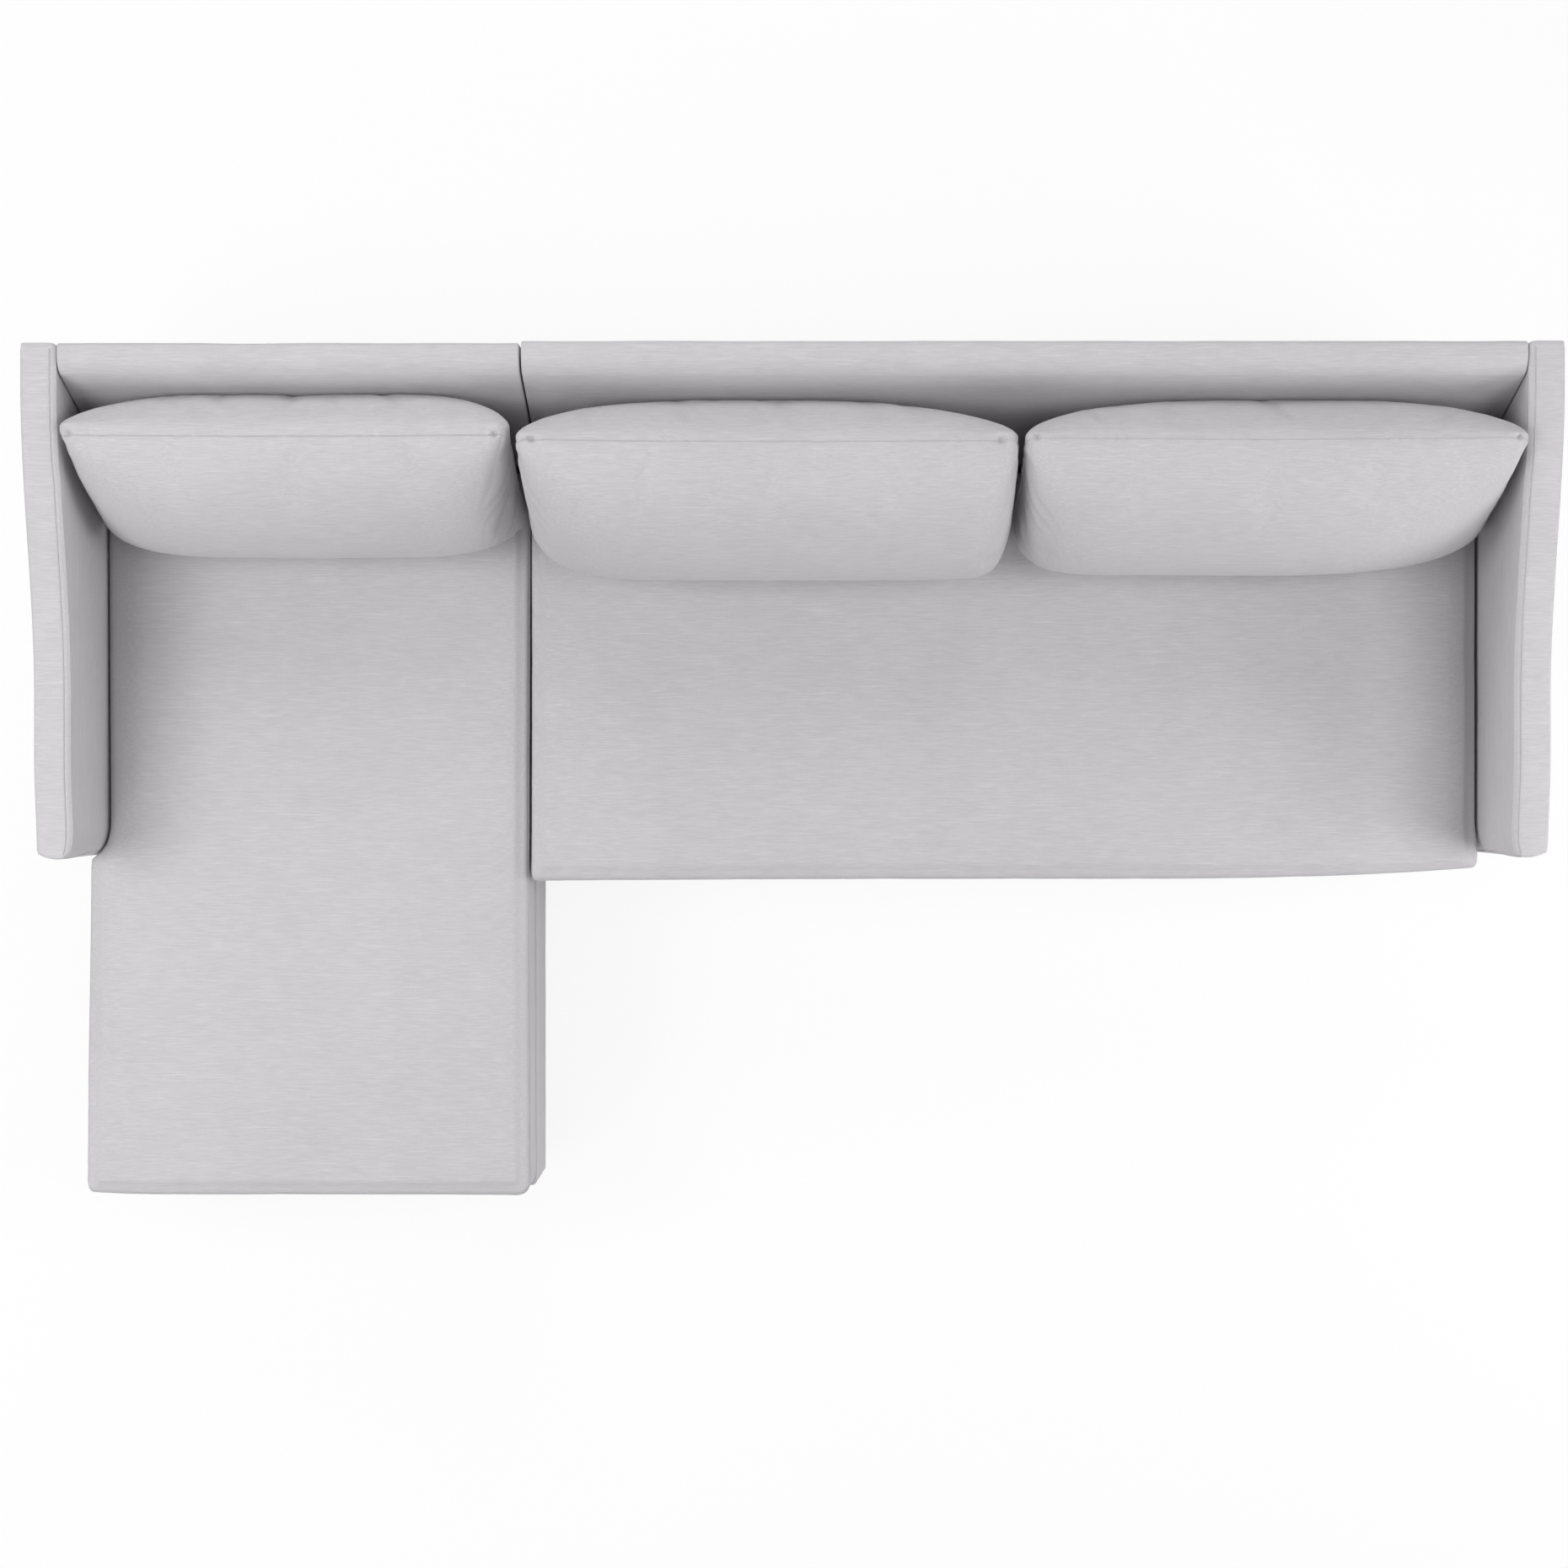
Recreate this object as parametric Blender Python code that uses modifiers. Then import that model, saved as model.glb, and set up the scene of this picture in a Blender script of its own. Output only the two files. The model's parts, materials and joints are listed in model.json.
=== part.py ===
"""A sleeper sectional sofa: a chaise on the left, a bench sofa with a pull-out bed on the right.

Metres, +Z up, +Y to the back, +X to the right seen from the front. The origin is the middle of the
footprint on the floor. Every piece is an object of its own.
"""

import math

import bmesh
import bpy
from mathutils import Vector

# Overall size.
WIDTH = 2.90
DEPTH = 1.666
BACK_HEIGHT = 0.84
LEG_HEIGHT = 0.06
CHAISE_WIDTH = 0.938
CHAISE_SEAT_WIDTH = 0.920

# Gaps between pieces.
TOUCH_GAP = 0.0003
SOFT_GAP = 0.001
MODULE_GAP = 0.003
CHAISE_REAR_STEP = 0.004

# Arms.
ARM_THICKNESS = 0.064
ARM_LENGTH = 0.973
ARM_PLATEAU = 0.745
ARM_FRONT_DROP = 0.02
ARM_DROP_LENGTH = 0.19
ARM_RISE_LENGTH = 0.58
ARM_RISE_REAR_SPACE = 0.083
ARM_EDGE_RADIUS = 0.016
ARM_FRONT_PAD = 0.036
ARM_POST = 0.06
ARM_WINDOW = 0.18
COVER_WALL = 0.006

# Backs.
BACK_TOP_FLAT = 0.0265
BACK_SHOULDER_RADIUS = 0.041
BACK_REAR_RADIUS = 0.01
BACK_SEAT_THICKNESS = 0.19
BACK_KNEE_HEIGHT = 0.45
BACK_SKIRT_HEIGHT = 0.33
BACK_EDGE_RADIUS = 0.009
BACK_BOARD = 0.022
BACK_BOARD_DROP = 0.031
BACK_FOAM_DROP = 0.052
BACK_STILE = 0.06
BACK_WINDOW = 0.24

# Wooden base.
BOARD = 0.022
RAIL_HEIGHT = 0.075
WEBBING = 0.004
STRAP_WIDTH = 0.06
STRAP_SPACE = 0.12
CHAISE_DECK_TOP = 0.279
SOFA_DECK_TOP = 0.3125
FRONT_RAIL_HEIGHT = 0.024
FRONT_RAIL_DEPTH = 0.025
DUST_COVER = 0.002
REAR_RAIL_INSET = 0.175
CROSS_RAIL_PLACE = 0.72

# Padded covers of the chaise base.
FRONT_PAD = 0.024
SIDE_PAD = 0.012
CHAISE_LEFT_INSET = 0.0255
CHAISE_CORNER_RADIUS = 0.02

# Legs.
LEG_TOP = 0.05
LEG_FOOT = 0.042
LEG_INSET = 0.06

# Seat cushions.
CHAISE_SEAT_TOP = 0.45
BENCH_SEAT_TOP = 0.47
BENCH_OVERHANG = 0.055
CUSHION_REAR_GAP = 0.008
CUSHION_CROWN = 0.012
CROWN_POWER = 4
CUSHION_EDGE = 0.024
CUSHION_DRAW = 0.003
DRAW_POWER = 9
CUSHION_CUTS = 11
BENCH_BOW = 0.0275
BENCH_BOW_POWER = 3.3
CHAISE_SHOULDER = 0.012
CUSHION_SEAM_SHIFT = 0.003

# Back pillows.
PILLOW_LENGTH = 0.43
PILLOW_LEAN = math.radians(19.5)
PILLOW_GAP = 0.004
PILLOW_SEAM_SHIFT = 0.005
PILLOW_BACK_SPACE = 0.131
CHAISE_PILLOW_BACK_SPACE = 0.111
PILLOW_DRAW = 0.006
PILLOW_CORNER = 0.04
PILLOW_REAR_BULGE = 0.137
CHAISE_PILLOW_BULGE = 0.15
MIDDLE_PILLOW_BULGE = 0.186
RIGHT_PILLOW_BULGE = 0.172
MIDDLE_PILLOW_WIDTH = 0.95
PILLOW_END_POWER = 12
PILLOW_RIM_POWER = 2.2
PILLOW_FULLNESS = 0.6
PILLOW_COLUMNS = 18
PILLOW_ROWS = 12

# Connectors between the modules.
CONNECTOR_PLATE = 0.0025
CONNECTOR_WIDTH = 0.06
CONNECTOR_HEIGHT = 0.05
CONNECTOR_SLOT = 0.007
CONNECTOR_TONGUE = 0.005
CONNECTOR_LIP = 0.012
CONNECTOR_BOTTOM = 0.15
CONNECTOR_BACK_SPACES = {"front": 0.543, "rear": 0.143}

# Pull-out bed.
BED_SIDE_GAP = 0.005
BED_CHAISE_GAP = 0.008
BED_SETBACK = 0.03
BED_COVER_DEPTH = 0.024
BED_FLOOR_GAP = 0.035
BED_TRAVEL = 0.66
BED_DEPTH = 0.765
BED_RAIL = 0.022
BED_RAIL_INSET = 0.035
BED_RAIL_FLOOR_GAP = 0.012
BED_RAIL_TOP = 0.16
BED_REAR_RAIL_BOTTOM = 0.07
SLAT_THICKNESS = 0.015
SLAT_WIDTH = 0.07
SLAT_SPACE = 0.07
SLAT_BORDER = 0.05
MATTRESS = 0.10
MATTRESS_INSET = 0.004
MATTRESS_ROUND = 0.02
STRAP_TAB_WIDTH = 0.045
STRAP_TAB_LENGTH = 0.085
STRAP_TAB = 0.003
STRAP_HEM = 0.0035

# Wheels and runners of the bed.
WHEEL_RADIUS = 0.03
WHEEL_WIDTH = 0.02
WHEEL_ROUND = 0.003
WHEEL_BORE_GAP = 0.0005
WHEEL_SIDE_GAP = 0.0015
AXLE_RADIUS = 0.005
AXLE_HEAD_RADIUS = 0.009
AXLE_HEAD = 0.004
WHEEL_FRONT_INSET = 0.10
WHEEL_REAR_INSET = 0.085
CHANNEL_DEPTH = 0.024
CHANNEL_HEIGHT = 0.05
CHANNEL_WALL = 0.003
CHANNEL_BOTTOM = 0.105
CHANNEL_STOP_GAP = 0.002
CHANNEL_STOP = 0.012
LUG_GAP = 0.004
LUG_SIDE_GAP = 0.0007
LUG_LENGTH = 0.035

# Worked out from the sizes above.
RIGHT = WIDTH / 2
LEFT = -RIGHT
REAR = DEPTH / 2
FRONT = -REAR
SEAM = LEFT + CHAISE_WIDTH
ARM_INNER = RIGHT - ARM_THICKNESS
ARM_FRONT = REAR - ARM_LENGTH
FRAME_BOTTOM = LEG_HEIGHT + TOUCH_GAP
BACK_FRONT = REAR - BACK_SEAT_THICKNESS
SHOULDER_Y = REAR - BACK_TOP_FLAT
SHOULDER_Z = BACK_HEIGHT - BACK_SHOULDER_RADIUS
SHOULDER_SPAN = math.hypot(SHOULDER_Y - BACK_FRONT, SHOULDER_Z - BACK_KNEE_HEIGHT)
BACK_SLANT = (
    math.atan2(SHOULDER_Y - BACK_FRONT, SHOULDER_Z - BACK_KNEE_HEIGHT)
    - math.asin(BACK_SHOULDER_RADIUS / SHOULDER_SPAN)
)
BACK_SLOPE = math.tan(BACK_SLANT)
BACK_TOP_FRONT = SHOULDER_Y - BACK_SHOULDER_RADIUS * math.cos(BACK_SLANT)
BACK_BOARD_REAR = REAR - COVER_WALL - SOFT_GAP / 2
BACK_BOARD_FRONT = BACK_BOARD_REAR - BACK_BOARD
CHAISE_BACK_RIGHT = SEAM - MODULE_GAP / 2
SOFA_BACK_LEFT = SEAM + MODULE_GAP / 2
CHAISE_RIGHT = LEFT + CHAISE_SEAT_WIDTH
PANEL_SETBACK = COVER_WALL + SOFT_GAP + TOUCH_GAP
SOFA_PANEL_LEFT = SOFA_BACK_LEFT + PANEL_SETBACK
SOFA_PANEL_RIGHT = ARM_INNER - PANEL_SETBACK
CHAISE_LEFT_RAIL = -SOFA_PANEL_RIGHT
CHAISE_RIGHT_RAIL = CHAISE_RIGHT - SIDE_PAD - TOUCH_GAP
CHAISE_RAIL_TOP = CHAISE_DECK_TOP - WEBBING - TOUCH_GAP
SOFA_RAIL_TOP = SOFA_DECK_TOP - WEBBING - TOUCH_GAP
CHAISE_RAIL_FRONT = FRONT + FRONT_PAD + TOUCH_GAP
PILLOW_SEAM = CHAISE_RIGHT + PILLOW_SEAM_SHIFT
BENCH_FRONT = ARM_FRONT - BENCH_OVERHANG
CUSHION_REAR = BACK_FRONT - CUSHION_REAR_GAP
BED_FRONT = BENCH_FRONT + BED_SETBACK
BED_BOARD_REAR = BED_FRONT + BED_COVER_DEPTH
PANEL_FRONT = BED_BOARD_REAR + BED_SIDE_GAP
SEAT_REAR = REAR - REAR_RAIL_INSET
BED_LEFT = CHAISE_RIGHT + BED_CHAISE_GAP
BED_RIGHT = ARM_INNER - BED_SIDE_GAP
BED_TOP = SOFA_RAIL_TOP - FRONT_RAIL_HEIGHT - BED_SIDE_GAP
BED_REAR = BED_BOARD_REAR + BED_DEPTH
BED_RAIL_LEFT = SOFA_PANEL_LEFT + BOARD + BED_RAIL_INSET
BED_RAIL_RIGHT = SOFA_PANEL_RIGHT - BOARD - BED_RAIL_INSET


def clear_scene():
    """Removes what the file held before."""
    for obj in list(bpy.data.objects):
        bpy.data.objects.remove(obj, do_unlink=True)


def new_collection(name, hidden=False):
    """A collection under the scene's own."""
    collection = bpy.data.collections.new(name)
    bpy.context.scene.collection.children.link(collection)
    collection.hide_render = hidden
    return collection


def new_material(name, colour, roughness, metallic=0.0):
    """A plain Principled material."""
    material = bpy.data.materials.new(name)
    material.use_nodes = True
    shader = material.node_tree.nodes["Principled BSDF"]
    shader.inputs["Base Color"].default_value = (*colour, 1.0)
    shader.inputs["Roughness"].default_value = roughness
    shader.inputs["Metallic"].default_value = metallic
    material.diffuse_color = (*colour, 1.0)
    return material


clear_scene()
PARTS = new_collection("sleeper_sectional_sofa")
CUTTERS = new_collection("cutters", hidden=True)
FABRIC = new_material("grey_fabric", (0.60, 0.58, 0.60), 0.9)
FOAM = new_material("foam", (0.82, 0.78, 0.62), 0.95)
WOOD = new_material("plain_wood", (0.55, 0.40, 0.24), 0.6)
CLOTH = new_material("dust_cloth", (0.04, 0.04, 0.04), 0.9)
STRAPS = new_material("webbing", (0.42, 0.36, 0.28), 0.85)
PLASTIC = new_material("black_plastic", (0.03, 0.03, 0.03), 0.45)
STEEL = new_material("steel", (0.55, 0.55, 0.56), 0.35, 1.0)
TICKING = new_material("mattress_ticking", (0.85, 0.85, 0.83), 0.9)


def add_object(name, form, material, collection=None, place=(0, 0, 0)):
    """Makes an object of a bmesh, with its faces turned outwards."""
    bmesh.ops.recalc_face_normals(form, faces=form.faces[:])
    closed = all(len(edge.link_faces) == 2 for edge in form.edges)
    if closed and form.calc_volume(signed=True) < 0:
        bmesh.ops.reverse_faces(form, faces=form.faces[:])
    mesh = bpy.data.meshes.new(name)
    form.to_mesh(mesh)
    form.free()
    mesh.materials.append(material)
    obj = bpy.data.objects.new(name, mesh)
    obj.location = place
    (collection or PARTS).objects.link(obj)
    return obj


def bevel(obj, width, segments=2, angle=35.0):
    """Rounds the edges that turn by more than the angle."""
    modifier = obj.modifiers.new("round", "BEVEL")
    modifier.width = width
    modifier.segments = segments
    modifier.limit_method = "ANGLE"
    modifier.angle_limit = math.radians(angle)
    return obj


def solidify(obj, wall):
    """Turns an open surface into a wall that lies inside it."""
    modifier = obj.modifiers.new("wall", "SOLIDIFY")
    modifier.thickness = wall
    modifier.offset = -1.0
    modifier.use_even_offset = True
    return obj


def smooth(obj, angle=35.0):
    """Shades a round piece smooth, with its corners kept sharp."""
    obj.data.shade_smooth()
    obj.data.set_sharp_from_angle(angle=math.radians(angle))
    return obj


def boolean(obj, other, operation):
    """Cuts or joins by another object."""
    modifier = obj.modifiers.new(operation.lower(), "BOOLEAN")
    modifier.operation = operation
    modifier.solver = "EXACT"
    modifier.object = other
    return obj


def box(name, low, high, material, rounding=0.0, collection=None):
    """A box between two corners."""
    low, high = Vector(low), Vector(high)
    form = bmesh.new()
    bmesh.ops.create_cube(form, size=1.0)
    bmesh.ops.scale(form, vec=high - low, verts=form.verts)
    obj = add_object(name, form, material, collection, (low + high) / 2)
    if rounding:
        bevel(obj, rounding)
    return obj


def helper(obj):
    """Marks a cutter, or a solid that only joins into another."""
    obj.hide_render = True
    obj.display_type = "WIRE"
    return obj


def cutter_box(name, low, high):
    """A box for cutting or joining."""
    return helper(box(name, low, high, WOOD, collection=CUTTERS))


def prism(name, outline, axis, start, end, material, collection=None, open_edge=None):
    """An outline swept along X or Z. open_edge is the outline's edge whose side stays open."""
    spread = {"X": lambda p, t: (t, p[0], p[1]), "Z": lambda p, t: (p[0], p[1], t)}[axis]
    middle = (start + end) / 2
    half = (end - start) / 2
    form = bmesh.new()
    near = [form.verts.new(spread(p, -half)) for p in outline]
    far = [form.verts.new(spread(p, half)) for p in outline]
    form.faces.new(near)
    form.faces.new(far[::-1])
    for i in range(len(outline)):
        j = (i + 1) % len(outline)
        if i != open_edge:
            form.faces.new((near[j], near[i], far[i], far[j]))
    place = (middle, 0, 0) if axis == "X" else (0, 0, middle)
    return add_object(name, form, material, collection, place)


def arc(centre, radius, start, end, steps):
    """Points along an arc, angles in degrees."""
    points = []
    for i in range(steps + 1):
        angle = math.radians(start + (end - start) * i / steps)
        points.append((centre[0] + radius * math.cos(angle), centre[1] + radius * math.sin(angle)))
    return points


def ease(value):
    """Smoothly from 0 to 1."""
    value = min(max(value, 0.0), 1.0)
    return value * value * (3 - 2 * value)


def sine_spread(value):
    """Moves points of -1 to 1 closer together near both ends."""
    return math.sin(value * math.pi / 2)


def cylinder_x(name, radius, low, high, y, z, material, segments=24, collection=None):
    """A round bar along X, with its origin at its middle."""
    form = bmesh.new()
    bmesh.ops.create_cone(
        form, cap_ends=True, segments=segments, radius1=radius, radius2=radius, depth=high - low
    )
    for vert in form.verts:
        vert.co = (vert.co.z, vert.co.y, -vert.co.x)
    return add_object(name, form, material, collection, ((low + high) / 2, y, z))


def even_windows(low, high, border, bar, space):
    """Start and width of evenly spaced windows between two edges, and their pitch."""
    inside = high - low - 2 * border + bar
    count = max(1, round(inside / (bar + space)))
    pitch = inside / count
    return low + border, pitch - bar, pitch, count


def grid_panel(name, low, high, through, bars, spaces, borders, material):
    """A panel with rows of windows, cut along the through axis by one repeated cutter."""
    panel = box(name, low, high, material)
    sides = [axis for axis in range(3) if axis != through]
    first_low = [0.0, 0.0, 0.0]
    first_high = [0.0, 0.0, 0.0]
    margin = BOARD
    first_low[through] = low[through] - margin
    first_high[through] = high[through] + margin
    repeats = []
    for axis, bar, space, border in zip(sides, bars, spaces, borders):
        start, width, pitch, count = even_windows(low[axis], high[axis], border, bar, space)
        first_low[axis] = start
        first_high[axis] = start + width
        repeats.append((axis, pitch, count))
    window = cutter_box(name + "_window", first_low, first_high)
    for axis, pitch, count in repeats:
        if count > 1:
            copies = window.modifiers.new("copies", "ARRAY")
            copies.count = count
            copies.use_relative_offset = False
            copies.use_constant_offset = True
            offset = [0.0, 0.0, 0.0]
            offset[axis] = pitch
            copies.constant_offset_displace = offset
    return boolean(panel, window, "DIFFERENCE")


def arm_top(y):
    """Height of an arm's top: low and level in front, rising in a scoop to the back's height."""
    rise_start = REAR - ARM_RISE_REAR_SPACE - ARM_RISE_LENGTH
    rise = (BACK_HEIGHT - ARM_PLATEAU) * ease((y - rise_start) / ARM_RISE_LENGTH)
    drop = ARM_FRONT_DROP * ease((ARM_FRONT + ARM_DROP_LENGTH - y) / ARM_DROP_LENGTH)
    return ARM_PLATEAU + rise - drop


def arm_outline(inset, front_inset, rear, steps=14):
    """Side outline of an arm, drawn in by the insets, from its bottom rear corner."""
    front = ARM_FRONT + front_inset
    rear = rear - inset
    top = [max(front, rear + (ARM_FRONT + inset - rear) * i / steps) for i in range(steps + 1)]
    return [(rear, FRAME_BOTTOM)] + [(y, arm_top(y) - inset) for y in top] + [(front, FRAME_BOTTOM)]


def back_face(z):
    """Y of the back's slanting front face."""
    return BACK_FRONT + BACK_SLOPE * max(0.0, z - BACK_KNEE_HEIGHT)


def make_arm(side, name, rear, inner, outer):
    """An arm: a padded cover, open underneath, round a wooden post-and-rail frame."""
    outline = arm_outline(0.0, 0.0, rear)
    cover = prism(
        name + "_cover", outline, "X", min(inner, outer), max(inner, outer), FABRIC,
        open_edge=len(outline) - 1,
    )
    bevel(cover, ARM_EDGE_RADIUS, 3)
    solidify(cover, COVER_WALL)
    smooth(cover)
    inset = COVER_WALL + SOFT_GAP / 2
    low = min(inner, outer) + inset
    high = max(inner, outer) - inset
    frame = prism(name + "_frame", arm_outline(inset, ARM_FRONT_PAD, rear), "X", low, high, WOOD)
    bevel(frame, ARM_EDGE_RADIUS - COVER_WALL + SOFT_GAP, 2)
    front = ARM_FRONT + ARM_FRONT_PAD
    window = cutter_box(
        name + "_frame_window",
        (low - BOARD, front + ARM_POST, FRAME_BOTTOM + RAIL_HEIGHT),
        (high + BOARD, front + ARM_POST + ARM_WINDOW, ARM_PLATEAU - 2 * RAIL_HEIGHT),
    )
    copies = window.modifiers.new("copies", "ARRAY")
    pitch = ARM_POST + ARM_WINDOW
    copies.count = int((ARM_LENGTH - ARM_FRONT_PAD - inset - ARM_POST) / pitch)
    copies.use_relative_offset = False
    copies.use_constant_offset = True
    copies.constant_offset_displace = (0, pitch, 0)
    boolean(frame, window, "DIFFERENCE")


def back_outline():
    """Side outline of a back's cover, from the front of its skirt up and over to the bottom rear."""
    rear_corner = (REAR - BACK_REAR_RADIUS, BACK_HEIGHT - BACK_REAR_RADIUS)
    return (
        [(BACK_FRONT, BACK_SKIRT_HEIGHT), (BACK_FRONT, BACK_KNEE_HEIGHT)]
        + arc((SHOULDER_Y, SHOULDER_Z), BACK_SHOULDER_RADIUS, 180 - math.degrees(BACK_SLANT), 90, 6)
        + arc(rear_corner, BACK_REAR_RADIUS, 90, 0, 3)
        + [(REAR, FRAME_BOTTOM)]
    )


def make_back(name, left, right, rear_step):
    """A back: a padded cover over a foam wedge on a wooden board with windows."""
    step_length = REAR - BACK_TOP_FRONT
    outline = [(y - rear_step * max(0.0, (y - BACK_TOP_FRONT) / step_length), z) for y, z in back_outline()]
    cover = prism(name + "_cover", outline[::-1], "X", left, right, FABRIC, open_edge=len(outline) - 1)
    bevel(cover, BACK_EDGE_RADIUS, 2)
    solidify(cover, COVER_WALL)
    smooth(cover)
    inner_left = left + BACK_EDGE_RADIUS + SOFT_GAP
    inner_right = right - BACK_EDGE_RADIUS - SOFT_GAP
    grid_panel(
        name + "_frame",
        (inner_left, BACK_BOARD_FRONT - rear_step, FRAME_BOTTOM),
        (inner_right, BACK_BOARD_REAR - rear_step, BACK_HEIGHT - BACK_BOARD_DROP),
        1, (BACK_STILE, RAIL_HEIGHT), (BACK_WINDOW, BACK_WINDOW), (BACK_STILE, RAIL_HEIGHT), WOOD,
    )
    skin = COVER_WALL * math.hypot(1.0, BACK_SLOPE) + SOFT_GAP / 2
    foam_top = BACK_HEIGHT - BACK_FOAM_DROP
    foam_rear = BACK_BOARD_FRONT - rear_step - TOUCH_GAP
    foam = [
        (BACK_FRONT + skin, BACK_SKIRT_HEIGHT),
        (foam_rear, BACK_SKIRT_HEIGHT),
        (foam_rear, foam_top),
        (back_face(foam_top) + skin, foam_top),
        (BACK_FRONT + skin, BACK_KNEE_HEIGHT),
    ]
    prism(name + "_foam", foam, "X", inner_left, inner_right, FOAM)


def leg(name, x, y):
    """A square tapered foot under the frame."""
    form = bmesh.new()
    bmesh.ops.create_cone(
        form, cap_ends=True, segments=4, radius1=LEG_FOOT / math.sqrt(2), radius2=LEG_TOP / math.sqrt(2),
        depth=LEG_HEIGHT,
    )
    turn = math.radians(45)
    for vert in form.verts:
        across = vert.co.x * math.cos(turn) - vert.co.y * math.sin(turn)
        along = vert.co.x * math.sin(turn) + vert.co.y * math.cos(turn)
        vert.co = (across, along, vert.co.z)
    return bevel(add_object(name, form, PLASTIC, None, (x, y, LEG_HEIGHT / 2)), SOFT_GAP, 1)


def shoulder_spread(value, low, high, shoulder):
    """Spreads rows from -1 to 1 between two ends, with two neighbouring rows at the shoulder."""
    if value < -TOUCH_GAP:
        rows_before = 1 - 2 / (CUSHION_CUTS + 1)
        return low + (shoulder[0] - low) * (1 - math.cos((value + 1) / rows_before * math.pi / 2))
    return shoulder[1] + (high - shoulder[1]) * math.sin(value * math.pi / 2)


def cushion(name, left, right, front, rear, bottom, top, shoulder=None):
    """A box cushion with round edges, a crown that falls to its front and sides, and sides drawn in.

    left is a function of y, and front one of x. shoulder is where along y the left side steps.
    """
    form = bmesh.new()
    bmesh.ops.create_cube(form, size=2.0)
    bmesh.ops.subdivide_edges(form, edges=form.edges[:], cuts=CUSHION_CUTS, use_grid_fill=True)
    middle = Vector(((left(rear) + right) / 2, 0.0, (bottom + top) / 2))
    middle.y = (front(middle.x) + rear) / 2
    half = Vector((right - middle.x, rear - middle.y, top - middle.z))
    inner = half - Vector((CUSHION_EDGE,) * 3)
    for vert in form.verts:
        flat = Vector([sine_spread(t) * h for t, h in zip(vert.co, half)])
        if shoulder:
            flat.y = shoulder_spread(vert.co.y, middle.y - half.y, rear, shoulder) - middle.y
        core = Vector([min(max(p, -limit), limit) for p, limit in zip(flat, inner)])
        point = core + (flat - core).normalized() * CUSHION_EDGE
        across, along, up = (p / h for p, h in zip(point, half))
        crown = (1 - across ** CROWN_POWER) * (1 - max(0.0, -along) ** CROWN_POWER)
        point.z -= CUSHION_CROWN * (1 - crown) * max(0.0, up)
        draw = CUSHION_DRAW * (1 - up * up)
        point.x -= draw * across ** DRAW_POWER
        point.y -= draw * along ** DRAW_POWER
        place = middle + point
        place.y += (front(place.x) - front(middle.x)) * (1 - along) / 2
        place.x += (left(place.y) - left(rear)) * (1 - across) / 2
        vert.co = place
    return smooth(add_object(name, form, FABRIC), 60)


def pillow(name, left, right, seat, back_space, front_bulge):
    """A knife-edged pillow that stands on the seat and leans on the back."""
    middle = (left + right) / 2
    half_width = (right - left) / 2
    half = PILLOW_LENGTH / 2
    centre_y = BACK_FRONT - back_space + half * math.sin(PILLOW_LEAN)
    centre_z = seat + half * math.cos(PILLOW_LEAN)
    form = bmesh.new()
    for bulge in (front_bulge, -PILLOW_REAR_BULGE):
        made = bmesh.ops.create_grid(
            form, x_segments=PILLOW_COLUMNS, y_segments=PILLOW_ROWS, size=1.0
        )["verts"]
        for vert in made:
            u, v = sine_spread(vert.co.x), sine_spread(vert.co.y)
            ends = math.sqrt(max(0.0, 1 - u ** PILLOW_END_POWER))
            thick = ends * max(0.0, 1 - abs(v) ** PILLOW_RIM_POWER) ** PILLOW_FULLNESS
            corner = max(0.0, (abs(v) * half - half + PILLOW_CORNER) / PILLOW_CORNER)
            cut = PILLOW_DRAW * (1 - v * v) + PILLOW_CORNER * (1 - math.sqrt(max(0.0, 1 - corner * corner)))
            x = u * (half_width - cut)
            along = v * (half - PILLOW_DRAW * (1 - u * u))
            out = bulge * thick
            y = centre_y + along * math.sin(PILLOW_LEAN) - out * math.cos(PILLOW_LEAN)
            z = centre_z + along * math.cos(PILLOW_LEAN) + out * math.sin(PILLOW_LEAN)
            vert.co = (middle + x, y, z)
    bmesh.ops.remove_doubles(form, verts=form.verts[:], dist=TOUCH_GAP / 10)
    for vert in form.verts:
        vert.co.z = max(vert.co.z, seat + SOFT_GAP / 2)
        vert.co.y = min(vert.co.y, back_face(vert.co.z) - SOFT_GAP)
    return smooth(add_object(name, form, FABRIC), 60)


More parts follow.
